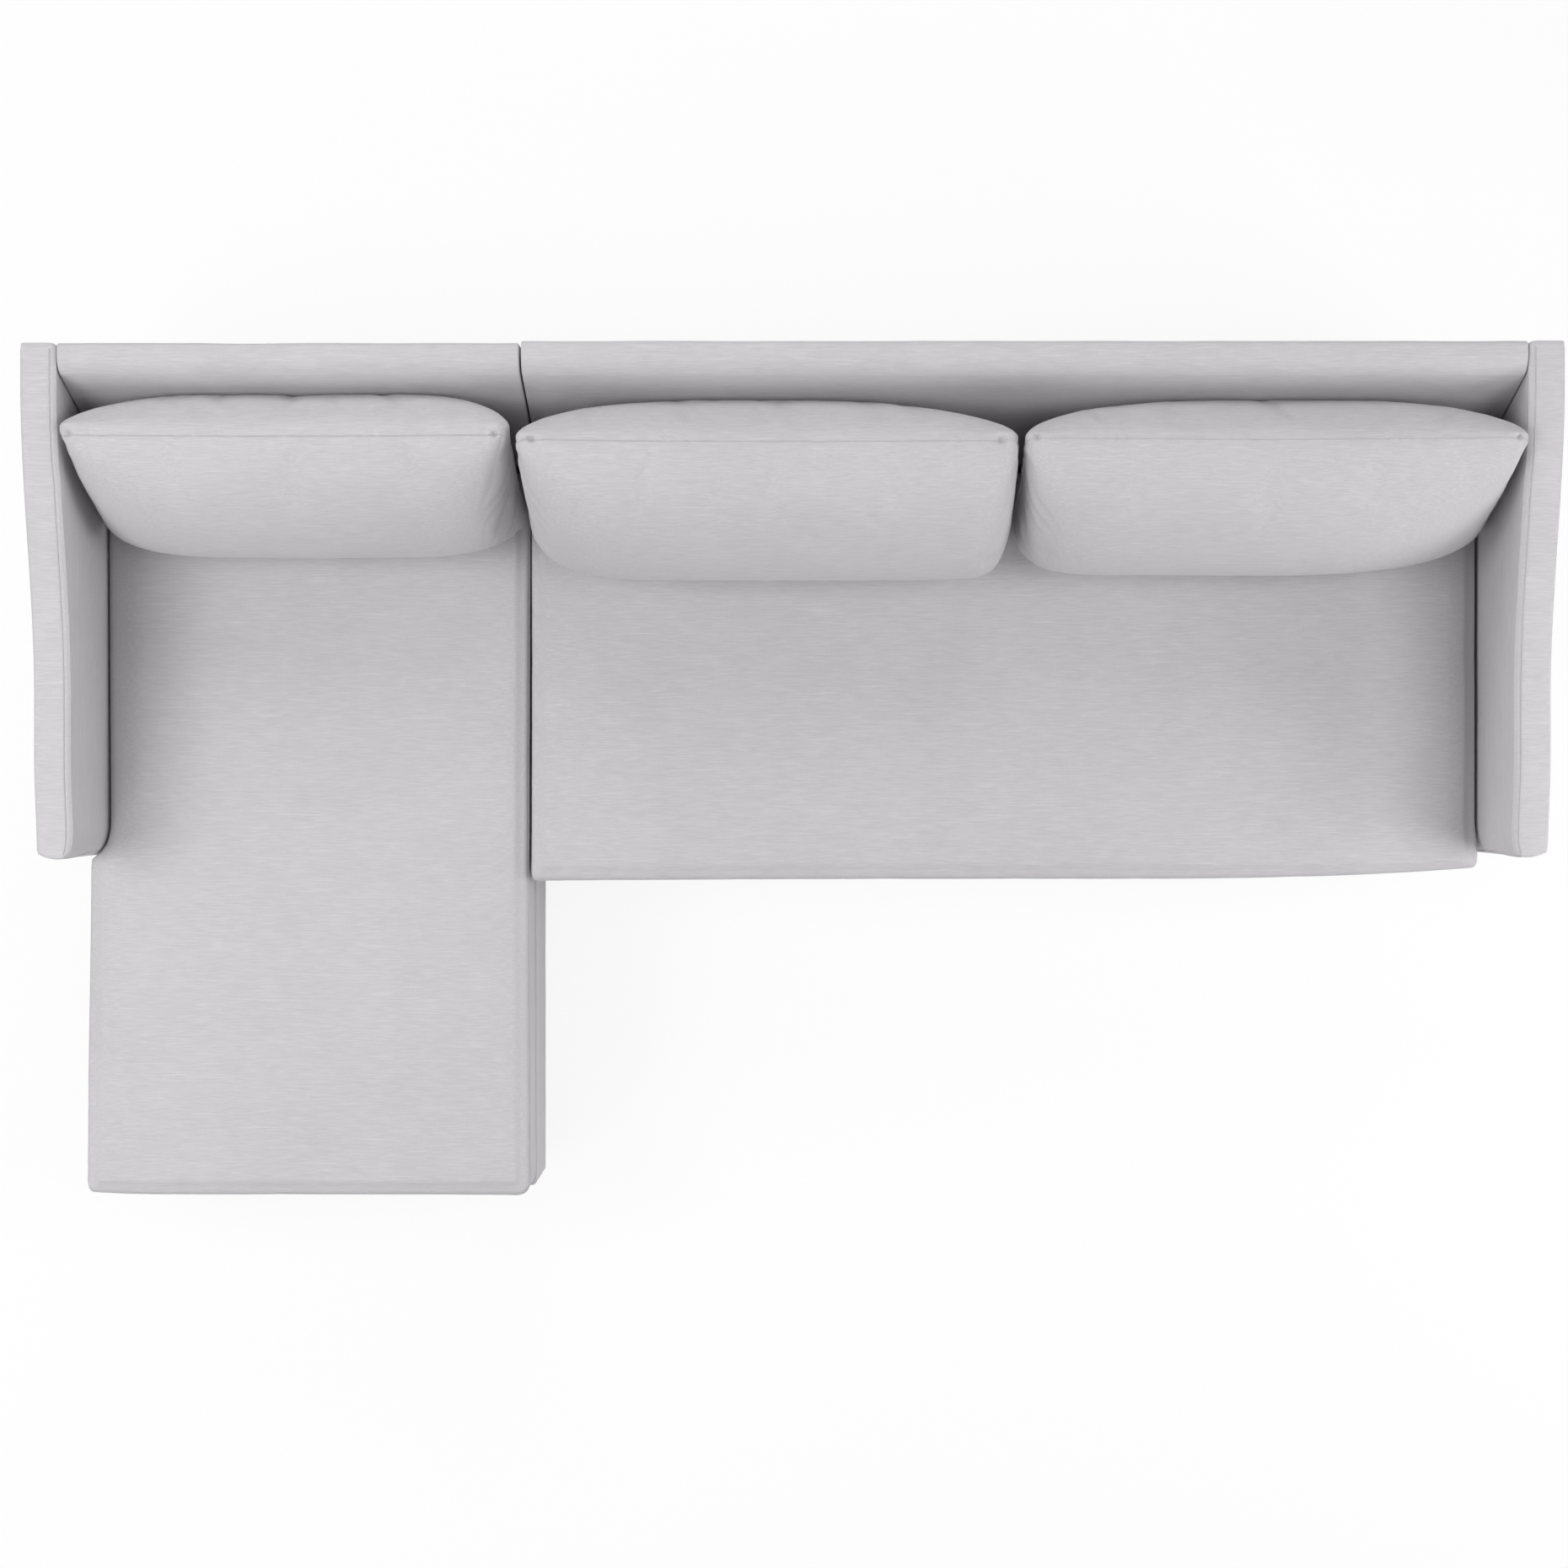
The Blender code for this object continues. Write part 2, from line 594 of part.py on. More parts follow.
def make_chaise():
    """The chaise module, all but its connectors."""
    rail_top = CHAISE_RAIL_TOP
    left, right = CHAISE_LEFT_RAIL, CHAISE_RIGHT_RAIL
    rail_rear = BACK_BOARD_FRONT - CHAISE_REAR_STEP - TOUCH_GAP
    side_front = CHAISE_RAIL_FRONT + BOARD + TOUCH_GAP
    box("chaise_front_rail", (left, CHAISE_RAIL_FRONT, FRAME_BOTTOM),
        (right, CHAISE_RAIL_FRONT + BOARD, rail_top), WOOD)
    box("chaise_left_rail", (left, side_front, FRAME_BOTTOM), (left + BOARD, rail_rear, rail_top), WOOD)
    box("chaise_right_rail", (right - BOARD, side_front, FRAME_BOTTOM), (right, rail_rear, rail_top), WOOD)
    inner_left, inner_right = left + BOARD + TOUCH_GAP, right - BOARD - TOUCH_GAP
    box("chaise_rear_rail", (inner_left, SEAT_REAR - BOARD, rail_top - RAIL_HEIGHT),
        (inner_right, SEAT_REAR, rail_top), WOOD)
    cross = CHAISE_RAIL_FRONT + CROSS_RAIL_PLACE
    dust_top = FRAME_BOTTOM + DUST_COVER
    box("chaise_cross_rail", (inner_left, cross, dust_top + TOUCH_GAP),
        (inner_right, cross + BOARD, rail_top), WOOD)
    box("chaise_dust_cover", (inner_left, side_front, FRAME_BOTTOM),
        (inner_right, rail_rear, dust_top), CLOTH)
    grid_panel(
        "chaise_webbing",
        (left, CHAISE_RAIL_FRONT, rail_top + TOUCH_GAP),
        (right, SEAT_REAR, CHAISE_DECK_TOP),
        2, (STRAP_WIDTH, STRAP_WIDTH), (STRAP_SPACE, STRAP_SPACE), (STRAP_WIDTH, STRAP_WIDTH), STRAPS,
    )
    pad_left = LEFT + CHAISE_LEFT_INSET
    radius = CHAISE_CORNER_RADIUS
    front_outline = (
        [(CHAISE_RIGHT, FRONT + FRONT_PAD), (pad_left, FRONT + FRONT_PAD)]
        + arc((pad_left + radius, FRONT + radius), radius, 180, 270, 5)
        + arc((CHAISE_RIGHT - radius, FRONT + radius), radius, 270, 360, 5)
    )
    prism("chaise_front_cover", front_outline, "Z", FRAME_BOTTOM, rail_top, FABRIC)
    box("chaise_right_cover", (CHAISE_RIGHT - SIDE_PAD, CHAISE_RAIL_FRONT, FRAME_BOTTOM),
        (CHAISE_RIGHT, BACK_FRONT - SOFT_GAP, rail_top), FABRIC)
    box("chaise_left_cover", (pad_left, CHAISE_RAIL_FRONT, FRAME_BOTTOM),
        (left - TOUCH_GAP, ARM_FRONT - TOUCH_GAP, rail_top), FABRIC)

    def seat_left(y):
        beside_arm = -ARM_INNER + SOFT_GAP
        return beside_arm + (pad_left - beside_arm) * ease((ARM_FRONT - SOFT_GAP - y) / CHAISE_SHOULDER)

    shoulder_rear = ARM_FRONT - SOFT_GAP
    cushion("chaise_seat_cushion", seat_left, CHAISE_RIGHT + CUSHION_SEAM_SHIFT, lambda x: FRONT,
            CUSHION_REAR, CHAISE_DECK_TOP + SOFT_GAP / 2, CHAISE_SEAT_TOP,
            (shoulder_rear - CHAISE_SHOULDER, shoulder_rear))
    arm_rear = REAR - CHAISE_REAR_STEP
    make_arm("left", "left_arm", arm_rear, -ARM_INNER, LEFT)
    make_back("chaise_back", -ARM_INNER + TOUCH_GAP, CHAISE_BACK_RIGHT, CHAISE_REAR_STEP)
    for end, y in (("front", FRONT + LEG_INSET), ("rear", REAR - LEG_INSET)):
        leg(f"chaise_leg_{end}_left", left + LEG_TOP / 2, y)
        leg(f"chaise_leg_{end}_right", right - LEG_TOP / 2, y)
    pillow("chaise_back_pillow", -ARM_INNER + PILLOW_GAP, PILLOW_SEAM - PILLOW_GAP / 2, CHAISE_SEAT_TOP,
           CHAISE_PILLOW_BACK_SPACE, CHAISE_PILLOW_BULGE)


def make_sofa():
    """The sofa module, all but its connectors and bed."""
    left, right = SOFA_PANEL_LEFT, SOFA_PANEL_RIGHT
    panel_rear = BACK_BOARD_FRONT - TOUCH_GAP
    for side, start in (("left", left), ("right", right - BOARD)):
        box(f"sofa_{side}_panel", (start, PANEL_FRONT, FRAME_BOTTOM),
            (start + BOARD, panel_rear, SOFA_RAIL_TOP), WOOD)
    inner_left, inner_right = left + BOARD + TOUCH_GAP, right - BOARD - TOUCH_GAP
    box("sofa_front_rail", (inner_left, PANEL_FRONT, SOFA_RAIL_TOP - FRONT_RAIL_HEIGHT),
        (inner_right, PANEL_FRONT + FRONT_RAIL_DEPTH, SOFA_RAIL_TOP), WOOD)
    box("sofa_rear_rail", (inner_left, SEAT_REAR - BOARD, SOFA_RAIL_TOP - RAIL_HEIGHT),
        (inner_right, SEAT_REAR, SOFA_RAIL_TOP), WOOD)
    grid_panel(
        "sofa_webbing", (left, PANEL_FRONT, SOFA_RAIL_TOP + TOUCH_GAP), (right, SEAT_REAR, SOFA_DECK_TOP),
        2, (STRAP_WIDTH, STRAP_WIDTH), (STRAP_SPACE, STRAP_SPACE), (STRAP_WIDTH, STRAP_WIDTH), STRAPS,
    )
    seat_left = CHAISE_RIGHT + CUSHION_SEAM_SHIFT + SOFT_GAP
    seat_right = ARM_INNER - SOFT_GAP

    def bench_front(x):
        middle = (seat_left + seat_right) / 2
        reach = min(max((x - middle) / (seat_right - middle), 0.0), 1.0)
        return BENCH_FRONT + BENCH_BOW * reach ** BENCH_BOW_POWER

    cushion("bench_seat_cushion", lambda y: seat_left, seat_right, bench_front, CUSHION_REAR,
            SOFA_DECK_TOP + SOFT_GAP / 2, BENCH_SEAT_TOP)
    make_arm("right", "right_arm", REAR, ARM_INNER, RIGHT)
    make_back("sofa_back", SOFA_BACK_LEFT, ARM_INNER - TOUCH_GAP, 0.0)
    for end, y in (("front", PANEL_FRONT + LEG_INSET), ("rear", REAR - LEG_INSET)):
        leg(f"sofa_leg_{end}_left", left + LEG_TOP / 2, y)
        leg(f"sofa_leg_{end}_right", right - BOARD + LEG_TOP / 2, y)
    first = PILLOW_SEAM + PILLOW_GAP / 2
    second = first + MIDDLE_PILLOW_WIDTH
    pillow("middle_back_pillow", first, second, BENCH_SEAT_TOP, PILLOW_BACK_SPACE, MIDDLE_PILLOW_BULGE)
    pillow("right_back_pillow", second + PILLOW_GAP, ARM_INNER - PILLOW_GAP, BENCH_SEAT_TOP,
           PILLOW_BACK_SPACE, RIGHT_PILLOW_BULGE)


def make_connectors():
    """Hook-and-pocket brackets that hold the two modules together."""
    for place, back_space in CONNECTOR_BACK_SPACES.items():
        y = BACK_FRONT - back_space
        low_y, high_y = y - CONNECTOR_WIDTH / 2, y + CONNECTOR_WIDTH / 2
        start = CHAISE_RIGHT + TOUCH_GAP
        slot = start + CONNECTOR_PLATE
        top = CONNECTOR_BOTTOM + CONNECTOR_HEIGHT
        bracket = box(f"connector_bracket_{place}", (start, low_y, CONNECTOR_BOTTOM),
                      (slot + CONNECTOR_SLOT + CONNECTOR_PLATE, high_y, top), STEEL)
        pocket = cutter_box(
            f"connector_pocket_{place}",
            (slot, low_y + CONNECTOR_PLATE, CONNECTOR_BOTTOM - CONNECTOR_LIP),
            (slot + CONNECTOR_SLOT, high_y - CONNECTOR_PLATE, top + CONNECTOR_LIP),
        )
        boolean(bracket, pocket, "DIFFERENCE")
        end = SOFA_PANEL_LEFT - TOUCH_GAP
        low_y, high_y = low_y + 2 * CONNECTOR_PLATE, high_y - 2 * CONNECTOR_PLATE
        bottom = CONNECTOR_BOTTOM + CONNECTOR_LIP
        hook = box(f"connector_hook_{place}", (end - CONNECTOR_PLATE, low_y, bottom),
                   (end, high_y, top + 2 * CONNECTOR_LIP), STEEL)
        tongue_left = slot + (CONNECTOR_SLOT - CONNECTOR_TONGUE) / 2
        tongue = cutter_box(f"connector_tongue_{place}", (tongue_left, low_y, bottom),
                            (tongue_left + CONNECTOR_TONGUE, high_y, top + CONNECTOR_LIP))
        bridge = cutter_box(f"connector_bridge_{place}", (tongue_left, low_y, top + TOUCH_GAP),
                            (end - CONNECTOR_PLATE / 2, high_y, top + CONNECTOR_LIP))
        boolean(hook, bridge, "UNION")
        boolean(hook, tongue, "UNION")


def make_bed():
    """The bed that pulls out from under the bench seat."""
    low = (BED_LEFT, BED_FRONT, BED_FLOOR_GAP)
    high = (BED_RIGHT, BED_BOARD_REAR, BED_TOP)
    cover = box("bed_front_cover", low, high, FABRIC)
    inset = COVER_WALL
    hollow = cutter_box("bed_front_hollow", (low[0] + inset, low[1] + inset, low[2] + inset),
                        (high[0] - inset, high[1] + inset, high[2] - inset))
    boolean(cover, hollow, "DIFFERENCE")
    gap = inset + TOUCH_GAP
    box("bed_front_board", (low[0] + gap, low[1] + gap, low[2] + gap),
        (high[0] - gap, high[1], high[2] - gap), WOOD)
    middle = (BED_LEFT + BED_RIGHT) / 2
    tab_rear = BED_FRONT - TOUCH_GAP
    tab_bottom = BED_TOP - STRAP_TAB_LENGTH
    tab = box("bed_pull_strap", (middle - STRAP_TAB_WIDTH / 2, tab_rear - STRAP_TAB, tab_bottom),
              (middle + STRAP_TAB_WIDTH / 2, tab_rear, BED_TOP - SOFT_GAP), STRAPS)
    hem = helper(cylinder_x("bed_pull_hem", STRAP_HEM, middle - STRAP_TAB_WIDTH / 2 - SOFT_GAP,
                            middle + STRAP_TAB_WIDTH / 2 + SOFT_GAP, tab_rear - STRAP_HEM, tab_bottom,
                            STRAPS, 12, CUTTERS))
    boolean(tab, hem, "UNION")
    rail_front = BED_BOARD_REAR + TOUCH_GAP
    slot_bottom = CHANNEL_BOTTOM + CHANNEL_WALL
    slot_top = CHANNEL_BOTTOM + CHANNEL_HEIGHT - CHANNEL_WALL
    slot_front = BED_REAR - 2 * LUG_LENGTH - BED_TRAVEL - CHANNEL_STOP_GAP
    for side, outer, way, panel in (
        ("left", BED_RAIL_LEFT, 1, SOFA_PANEL_LEFT + BOARD),
        ("right", BED_RAIL_RIGHT, -1, SOFA_PANEL_RIGHT - BOARD),
    ):
        inner = outer + way * BED_RAIL
        rail = box(f"bed_{side}_rail", (min(outer, inner), rail_front, BED_RAIL_FLOOR_GAP),
                   (max(outer, inner), BED_REAR, BED_RAIL_TOP), WOOD)
        tip = panel + way * (TOUCH_GAP + CHANNEL_WALL + LUG_SIDE_GAP)
        root = outer + way * BED_RAIL / 2
        lug = cutter_box(f"bed_{side}_lug",
                         (min(tip, root), BED_REAR - 2 * LUG_LENGTH, slot_bottom + LUG_GAP),
                         (max(tip, root), BED_REAR - LUG_LENGTH, slot_top - LUG_GAP))
        boolean(rail, lug, "UNION")
        wall = panel + way * TOUCH_GAP
        lips = wall + way * CHANNEL_DEPTH
        channel_front = slot_front - CHANNEL_STOP
        channel = box(f"bed_channel_{side}", (min(wall, lips), channel_front, CHANNEL_BOTTOM),
                      (max(wall, lips), BED_REAR, CHANNEL_BOTTOM + CHANNEL_HEIGHT), STEEL)
        slot_wall = wall + way * CHANNEL_WALL
        slot_end = lips + way * CHANNEL_WALL
        slot = cutter_box(
            f"bed_channel_{side}_slot",
            (min(slot_wall, slot_end), slot_front, slot_bottom),
            (max(slot_wall, slot_end), BED_REAR + CHANNEL_STOP, slot_top),
        )
        boolean(channel, slot, "DIFFERENCE")
        wheel_places = {"front": BED_BOARD_REAR + WHEEL_FRONT_INSET, "rear": BED_REAR - WHEEL_REAR_INSET}
        for place, y in wheel_places.items():
            near = inner + way * WHEEL_SIDE_GAP
            far = near + way * WHEEL_WIDTH
            wheel = cylinder_x(f"bed_wheel_{place}_{side}", WHEEL_RADIUS, min(near, far), max(near, far),
                               y, WHEEL_RADIUS, PLASTIC)
            bevel(wheel, WHEEL_ROUND, 2)
            bore = helper(cylinder_x(f"bed_wheel_bore_{place}_{side}", AXLE_RADIUS + WHEEL_BORE_GAP,
                                     min(near, far) - BOARD, max(near, far) + BOARD, y, WHEEL_RADIUS,
                                     PLASTIC, 16, CUTTERS))
            boolean(wheel, bore, "DIFFERENCE")
            smooth(wheel)
            hole = helper(cylinder_x(f"bed_rail_bore_{place}_{side}", AXLE_RADIUS + WHEEL_BORE_GAP,
                                     min(outer, inner) - BOARD, max(outer, inner) + BOARD, y, WHEEL_RADIUS,
                                     WOOD, 16, CUTTERS))
            boolean(rail, hole, "DIFFERENCE")
            head = outer - way * TOUCH_GAP
            cap = far + way * TOUCH_GAP
            shank = sorted((head - way * AXLE_HEAD / 2, cap + way * AXLE_HEAD / 2))
            axle = cylinder_x(f"bed_axle_{place}_{side}", AXLE_RADIUS, *shank, y, WHEEL_RADIUS, STEEL, 16)
            for part, start, outwards in (("head", head, -way), ("cap", cap, way)):
                disc_ends = sorted((start, start + outwards * AXLE_HEAD))
                disc = helper(cylinder_x(f"bed_axle_{part}_{place}_{side}", AXLE_HEAD_RADIUS, *disc_ends,
                                         y, WHEEL_RADIUS, STEEL, 16, CUTTERS))
                boolean(axle, disc, "UNION")
            smooth(axle)
    box("bed_rear_rail", (BED_RAIL_LEFT + BED_RAIL + TOUCH_GAP, BED_REAR - BED_RAIL, BED_REAR_RAIL_BOTTOM),
        (BED_RAIL_RIGHT - BED_RAIL - TOUCH_GAP, BED_REAR, BED_RAIL_TOP), WOOD)
    slat_low = (BED_RAIL_LEFT, rail_front, BED_RAIL_TOP + TOUCH_GAP)
    slat_high = (BED_RAIL_RIGHT, BED_REAR, BED_RAIL_TOP + TOUCH_GAP + SLAT_THICKNESS)
    grid_panel("bed_slats", slat_low, slat_high, 2, (SLAT_WIDTH, SLAT_BORDER), (SLAT_SPACE, 2 * BED_DEPTH),
               (SLAT_BORDER, SLAT_BORDER), WOOD)
    mattress_low = slat_high[2] + SOFT_GAP / 2
    inset = MATTRESS_INSET
    mattress = box("bed_mattress", (BED_RAIL_LEFT + inset, rail_front + inset, mattress_low),
                   (BED_RAIL_RIGHT - inset, BED_REAR - inset, mattress_low + MATTRESS), TICKING)
    smooth(bevel(mattress, MATTRESS_ROUND, 3))


make_chaise()
make_sofa()
make_connectors()
make_bed()
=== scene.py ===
import json
import math
from itertools import product

import bmesh
import bpy
import numpy as np
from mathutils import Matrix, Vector
from mathutils.bvhtree import BVHTree


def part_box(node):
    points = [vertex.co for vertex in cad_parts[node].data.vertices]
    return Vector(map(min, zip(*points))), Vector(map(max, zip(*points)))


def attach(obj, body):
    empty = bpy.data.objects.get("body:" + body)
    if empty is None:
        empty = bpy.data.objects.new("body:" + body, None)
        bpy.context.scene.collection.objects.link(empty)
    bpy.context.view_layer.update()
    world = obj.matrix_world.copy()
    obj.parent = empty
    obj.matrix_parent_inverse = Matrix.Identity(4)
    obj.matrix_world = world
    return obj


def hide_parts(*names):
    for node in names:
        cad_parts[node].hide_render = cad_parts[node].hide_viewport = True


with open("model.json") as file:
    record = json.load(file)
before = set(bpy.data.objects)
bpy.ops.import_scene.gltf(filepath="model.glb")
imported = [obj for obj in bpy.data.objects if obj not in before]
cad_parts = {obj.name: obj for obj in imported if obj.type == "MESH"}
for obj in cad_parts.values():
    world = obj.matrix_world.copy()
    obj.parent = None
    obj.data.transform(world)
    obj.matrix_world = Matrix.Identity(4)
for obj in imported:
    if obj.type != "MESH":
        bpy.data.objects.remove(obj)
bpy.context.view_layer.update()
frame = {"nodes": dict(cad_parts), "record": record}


def box_of(node):
    """A node's lowest and highest corner at rest."""
    low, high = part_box(node)
    return Vector(low), Vector(high)


# Camera, straight down. Its focal length is in the photograph's own pixels.
CAMERA_HEIGHT = 6.0
CAMERA_X = -0.016
IMAGE_SIZE = 1860
FOCAL_PIXELS = 3263
SENSOR_WIDTH = 36.0

# Light: the world's level, and lamps with their place, aim, size in metres and power in watts
WORLD_LIGHT = 0.30
LAMPS = (
    ("left", (-2.9, 0.0, 4.2), (-1.0, 0.0, 0.4), 2.0, 58.0),
    ("right", (2.9, 0.0, 4.2), (1.0, 0.0, 0.4), 2.0, 53.0),
    ("left_mid", (-3.2, -0.3, 2.4), (-0.4, 0.0, 0.4), 2.0, 10.0),
    ("right_low", (3.2, -0.6, 1.4), (0.6, 0.0, 0.5), 1.6, 27.0),
    ("left_front", (-2.6, -2.6, 3.0), (-0.4, 0.0, 0.4), 2.0, 30.0),
    ("front", (0.0, -3.0, 4.2), (0.0, 0.0, 0.4), 2.4, 8.0),
    ("rear", (-0.6, 3.4, 3.0), (0.0, 0.0, 0.4), 2.4, 48.0),
)
FLOOR_HALF = 12
FLOOR_DROP = 0.0005
FLOOR_COLOUR = (0.96, 0.96, 0.96, 1.0)
FLOOR_GLOW = 0.87

# Places that come from the frame, in metres
ARM_LEFT_LOW, ARM_LEFT_HIGH = box_of("left_arm_cover")
ARM_RIGHT_LOW, ARM_RIGHT_HIGH = box_of("right_arm_cover")
BACK_LOW, BACK_HIGH = box_of("sofa_back_cover")
CHAISE_BACK_LOW, CHAISE_BACK_HIGH = box_of("chaise_back_cover")
CHAISE_SEAT_LOW, CHAISE_SEAT_HIGH = box_of("chaise_seat_cushion")
BENCH_LOW, BENCH_HIGH = box_of("bench_seat_cushion")
ARM_FRONT = ARM_RIGHT_LOW.y
REAR = BACK_HIGH.y
FRAME_BOTTOM = BACK_LOW.z
BACK_FRONT = BACK_LOW.y
BACK_TOP = BACK_HIGH.z
SEAT_TOP = 0.47

# Arms: a plateau that drops at its front end and rises to the back, with padding on its inner face
ARM_PLATEAU = 0.745
ARM_DROP = 0.02
ARM_DROP_LENGTH = 0.19
ARM_RISE_END = REAR - 0.083
ARM_RISE_LENGTH = 0.58
ARM_FULL = 0.0058
ARM_SQUEEZE = 0.0012
ARM_FULL_RISE = 0.22
ARM_REAR_FULL = 0.003
ARM_REAR_START = 0.55
ARM_REAR_LENGTH = 0.08
ARM_CORNER_ACROSS = 0.025
ARM_CORNER_ALONG = 0.055
ARM_FORWARD = {"left": 0.005, "right": 0.001}
ARM_EDGES_LOW = (0.018, 0.007, 0.004)
ARM_EDGES_HIGH = (0.004, 0.004, 0.007)
ARM_SEEDS = {"left": 4, "right": 3}

# Backs: a plain front up to the knee, a slanted face above it and a rounded shoulder
BACK_KNEE = 0.45
BACK_SKIRT = 0.33
BACK_SKIN = 0.005
BACK_STEP = 0.012
BACK_REAR_RADIUS = 0.010
BACK_END_EDGE = 0.004
BACK_ARM_GAP = 0.0042
BACK_JOIN_GAP = 0.0005
SHOULDER_RADIUS = 0.041
SHOULDER_Y = REAR - 0.0265
SHOULDER_Z = BACK_TOP - SHOULDER_RADIUS
SLANT_RUN = SHOULDER_Y - BACK_FRONT
SLANT_RISE = SHOULDER_Z - BACK_KNEE
SHOULDER_TURN = math.asin(SHOULDER_RADIUS / math.hypot(SLANT_RUN, SLANT_RISE))
BACK_SLANT = math.atan2(SLANT_RUN, SLANT_RISE) - SHOULDER_TURN
BACK_SLOPE = math.tan(BACK_SLANT)
SLANT_END = SHOULDER_Y - SHOULDER_RADIUS * math.cos(BACK_SLANT)

# Seat cushions: edge radii, crown, the side that an arm rolls down, and how far the cloth may move,
# near the edges only by a small share
CUSHION_EDGE = 0.012
CUSHION_SIDE_EDGES = {"left": (0.006, CUSHION_EDGE), "right": (0.005, 0.006)}
CUSHION_CROWN = 0.010
CUSHION_INSET = 0.003
CUSHION_FULL = 0.0015
CUSHION_ROLL_WIDTH = 0.072
CUSHION_ROLL_DROP = 0.017
CUSHION_CELL = 0.011
CUSHION_CAP = 0.008
CUSHION_SHARE = 0.03
CUSHION_BAND = 0.07
CHAISE_CORNERS = (0.015, 0.026)
CHAISE_BOW_DEPTH = 0.010
CHAISE_BOW_REACH = 0.30
CHAISE_SIDE_INSET = 0.001
CHAISE_SIDE_FLARE = 0.004
BENCH_CORNERS = (0.012, 0.013)
BENCH_BOW = 0.0275
BENCH_BOW_POWER = 3.3

# Pillows: length, lean, how far the rim draws in, corner radius, and how far the cloth may move
PILLOW_LENGTH = 0.43
PILLOW_LEAN = math.radians(19.5)
LEAN_SIN = math.sin(PILLOW_LEAN)
LEAN_COS = math.cos(PILLOW_LEAN)
PILLOW_DRAW = 0.006
PILLOW_CORNER = 0.028
PILLOW_REAR_BULGE = 0.137
PILLOW_THIN = 0.93
PILLOW_CELL = 0.0085
PILLOW_CAP = 0.024
DIMPLE_SIZE = (0.0068, 0.0050, 0.012)
DIMPLE_DEPTH = 0.0095
GATHER_DEPTH = 0.0022
GATHER_REACH = 0.016
# Each pillow's seat height, foot, bulge, the powers of its outline at the front's and the rear's
# left and right ends, and its sewing: the top seam's place, the insets of its left and right tips
# and the depths of its left and right end folds
PILLOWS = {
    "chaise": (CHAISE_SEAT_HIGH.z, BACK_FRONT - 0.111, 0.15, (4.6, 6.5, 2.9, 4.2),
               (0.654, 0.020, 0.027, 0.0018, 0.0085)),
    "middle": (BENCH_HIGH.z, BACK_FRONT - 0.131, 0.186, (7.0, 22, 3.6, 2.6),
               (0.642, 0.031, 0.034, 0.0070, 0.0060)),
    "right": (BENCH_HIGH.z, BACK_FRONT - 0.131, 0.172, (14, 2.8, 3.1, 3.8),
              (0.646, 0.020, 0.022, 0.0085, 0.0020)),
}

# Cloth pass: pressure from inside and no gravity
CLOTH_FRAMES = 20
CLOTH_SETTINGS = {
    "quality": 4,
    "mass": 0.3,
    "tension_stiffness": 12,
    "compression_stiffness": 12,
    "shear_stiffness": 4,
    "bending_stiffness": 0.35,
    "use_pressure": True,
    "uniform_pressure_force": 4.0,
    "shrink_min": -0.012,
}

# Seams, the chaise's base cover, webbing straps, the mattress and the dust cloth
SEAM_RADIUS = 0.0012
SEAM_LIFT = 0.15
SKIN = 0.0015
WELD = 0.00005
BASE_RADIUS = 0.012
BASE_FULL = 0.003
BASE_EDGE = 0.005
BASE_LEVELS = 18
STRAP_WIDTH = 0.06
STRAP_SPACE = 0.12
STRAP_THICKNESS = 0.0016
STRAP_STEPS = 10
QUILT_PITCH = 0.105
QUILT_DEPTH = 0.007
DUST_THICKNESS = 0.0006


def ease(value):
    """A smooth step from 0 to 1."""
    value = np.clip(value, 0.0, 1.0)
    return value * value * (3 - 2 * value)


def corner_drop(share):
    """How far a round corner of radius 1 draws back at a share of the way along it."""
    return 1 - np.sqrt(np.clip(1 - share ** 2, 0, 1))


def edge_drop(radius, angle):
    """How far a rounded edge lies inside its two faces at an angle along it."""
    return radius * (1 - math.cos(angle)), radius * (1 - math.sin(angle))


def value_at(function, place):
    """The value at one place of a function that takes arrays."""
    return float(function(np.array([place]))[0])


def lattice(*counts):
    """Points and faces of a closed box from -1 to 1 with so many cells each way."""
    index = {}
    faces = []
    for axis in range(3):
        first, second = [a for a in range(3) if a != axis]
        for side, i, j in product((0, counts[axis]), range(counts[first]), range(counts[second])):
            corners = []
            for di, dj in ((0, 0), (1, 0), (1, 1), (0, 1)):
                place = [side] * 3
                place[first] = i + di
                place[second] = j + dj
                corners.append(index.setdefault(tuple(place), len(index)))
            faces.append(corners if (side == 0) == (axis == 1) else corners[::-1])
    return 2 * np.array(list(index)) / counts - 1, faces


def denser_edges(points, share):
    """Moves a lattice's cells towards its edges."""
    return (1 - share) * points + share * np.sin(points * math.pi / 2)


def eased_box(points, half, low, high):
    """Rounds a box's edges, with a radius for each of its low and high sides."""
    low, high, half = np.array(low), np.array(high), np.array(half)
    radii = np.where(points > 0, high, low)
    core = np.clip(points, low - half, half - high)
    out = (points - core) / radii
    length = np.linalg.norm(out, axis=1, keepdims=True)
    return core + out / np.maximum(length, 1e-9) * radii


def tube_faces(rings, count, first=0):
    """Faces round a tube whose rings have so many points each, and its two end faces."""
    faces = []
    for i in range(rings - 1):
        for j in range(count):
            k = (j + 1) % count
            faces.append([i * count + j, i * count + k, (i + 1) * count + k, (i + 1) * count + j])
    faces.append(list(range(count)))
    faces.append([(rings - 1) * count + j for j in range(count)][::-1])
    return [[first + corner for corner in face] for face in faces]


def wobble(points, size, depth, seed, waves=7):
    """A smooth, repeatable unevenness from a few waves that cross each other."""
    rng = np.random.default_rng(seed)
    total = np.zeros(len(points))
    for _ in range(waves):
        direction = rng.normal(size=3)
        direction /= np.linalg.norm(direction)
        wave = size * rng.uniform(0.7, 1.5)
        total += np.sin(points @ direction * (2 * math.pi / wave) + rng.uniform(0, 2 * math.pi))
    return total / waves * depth


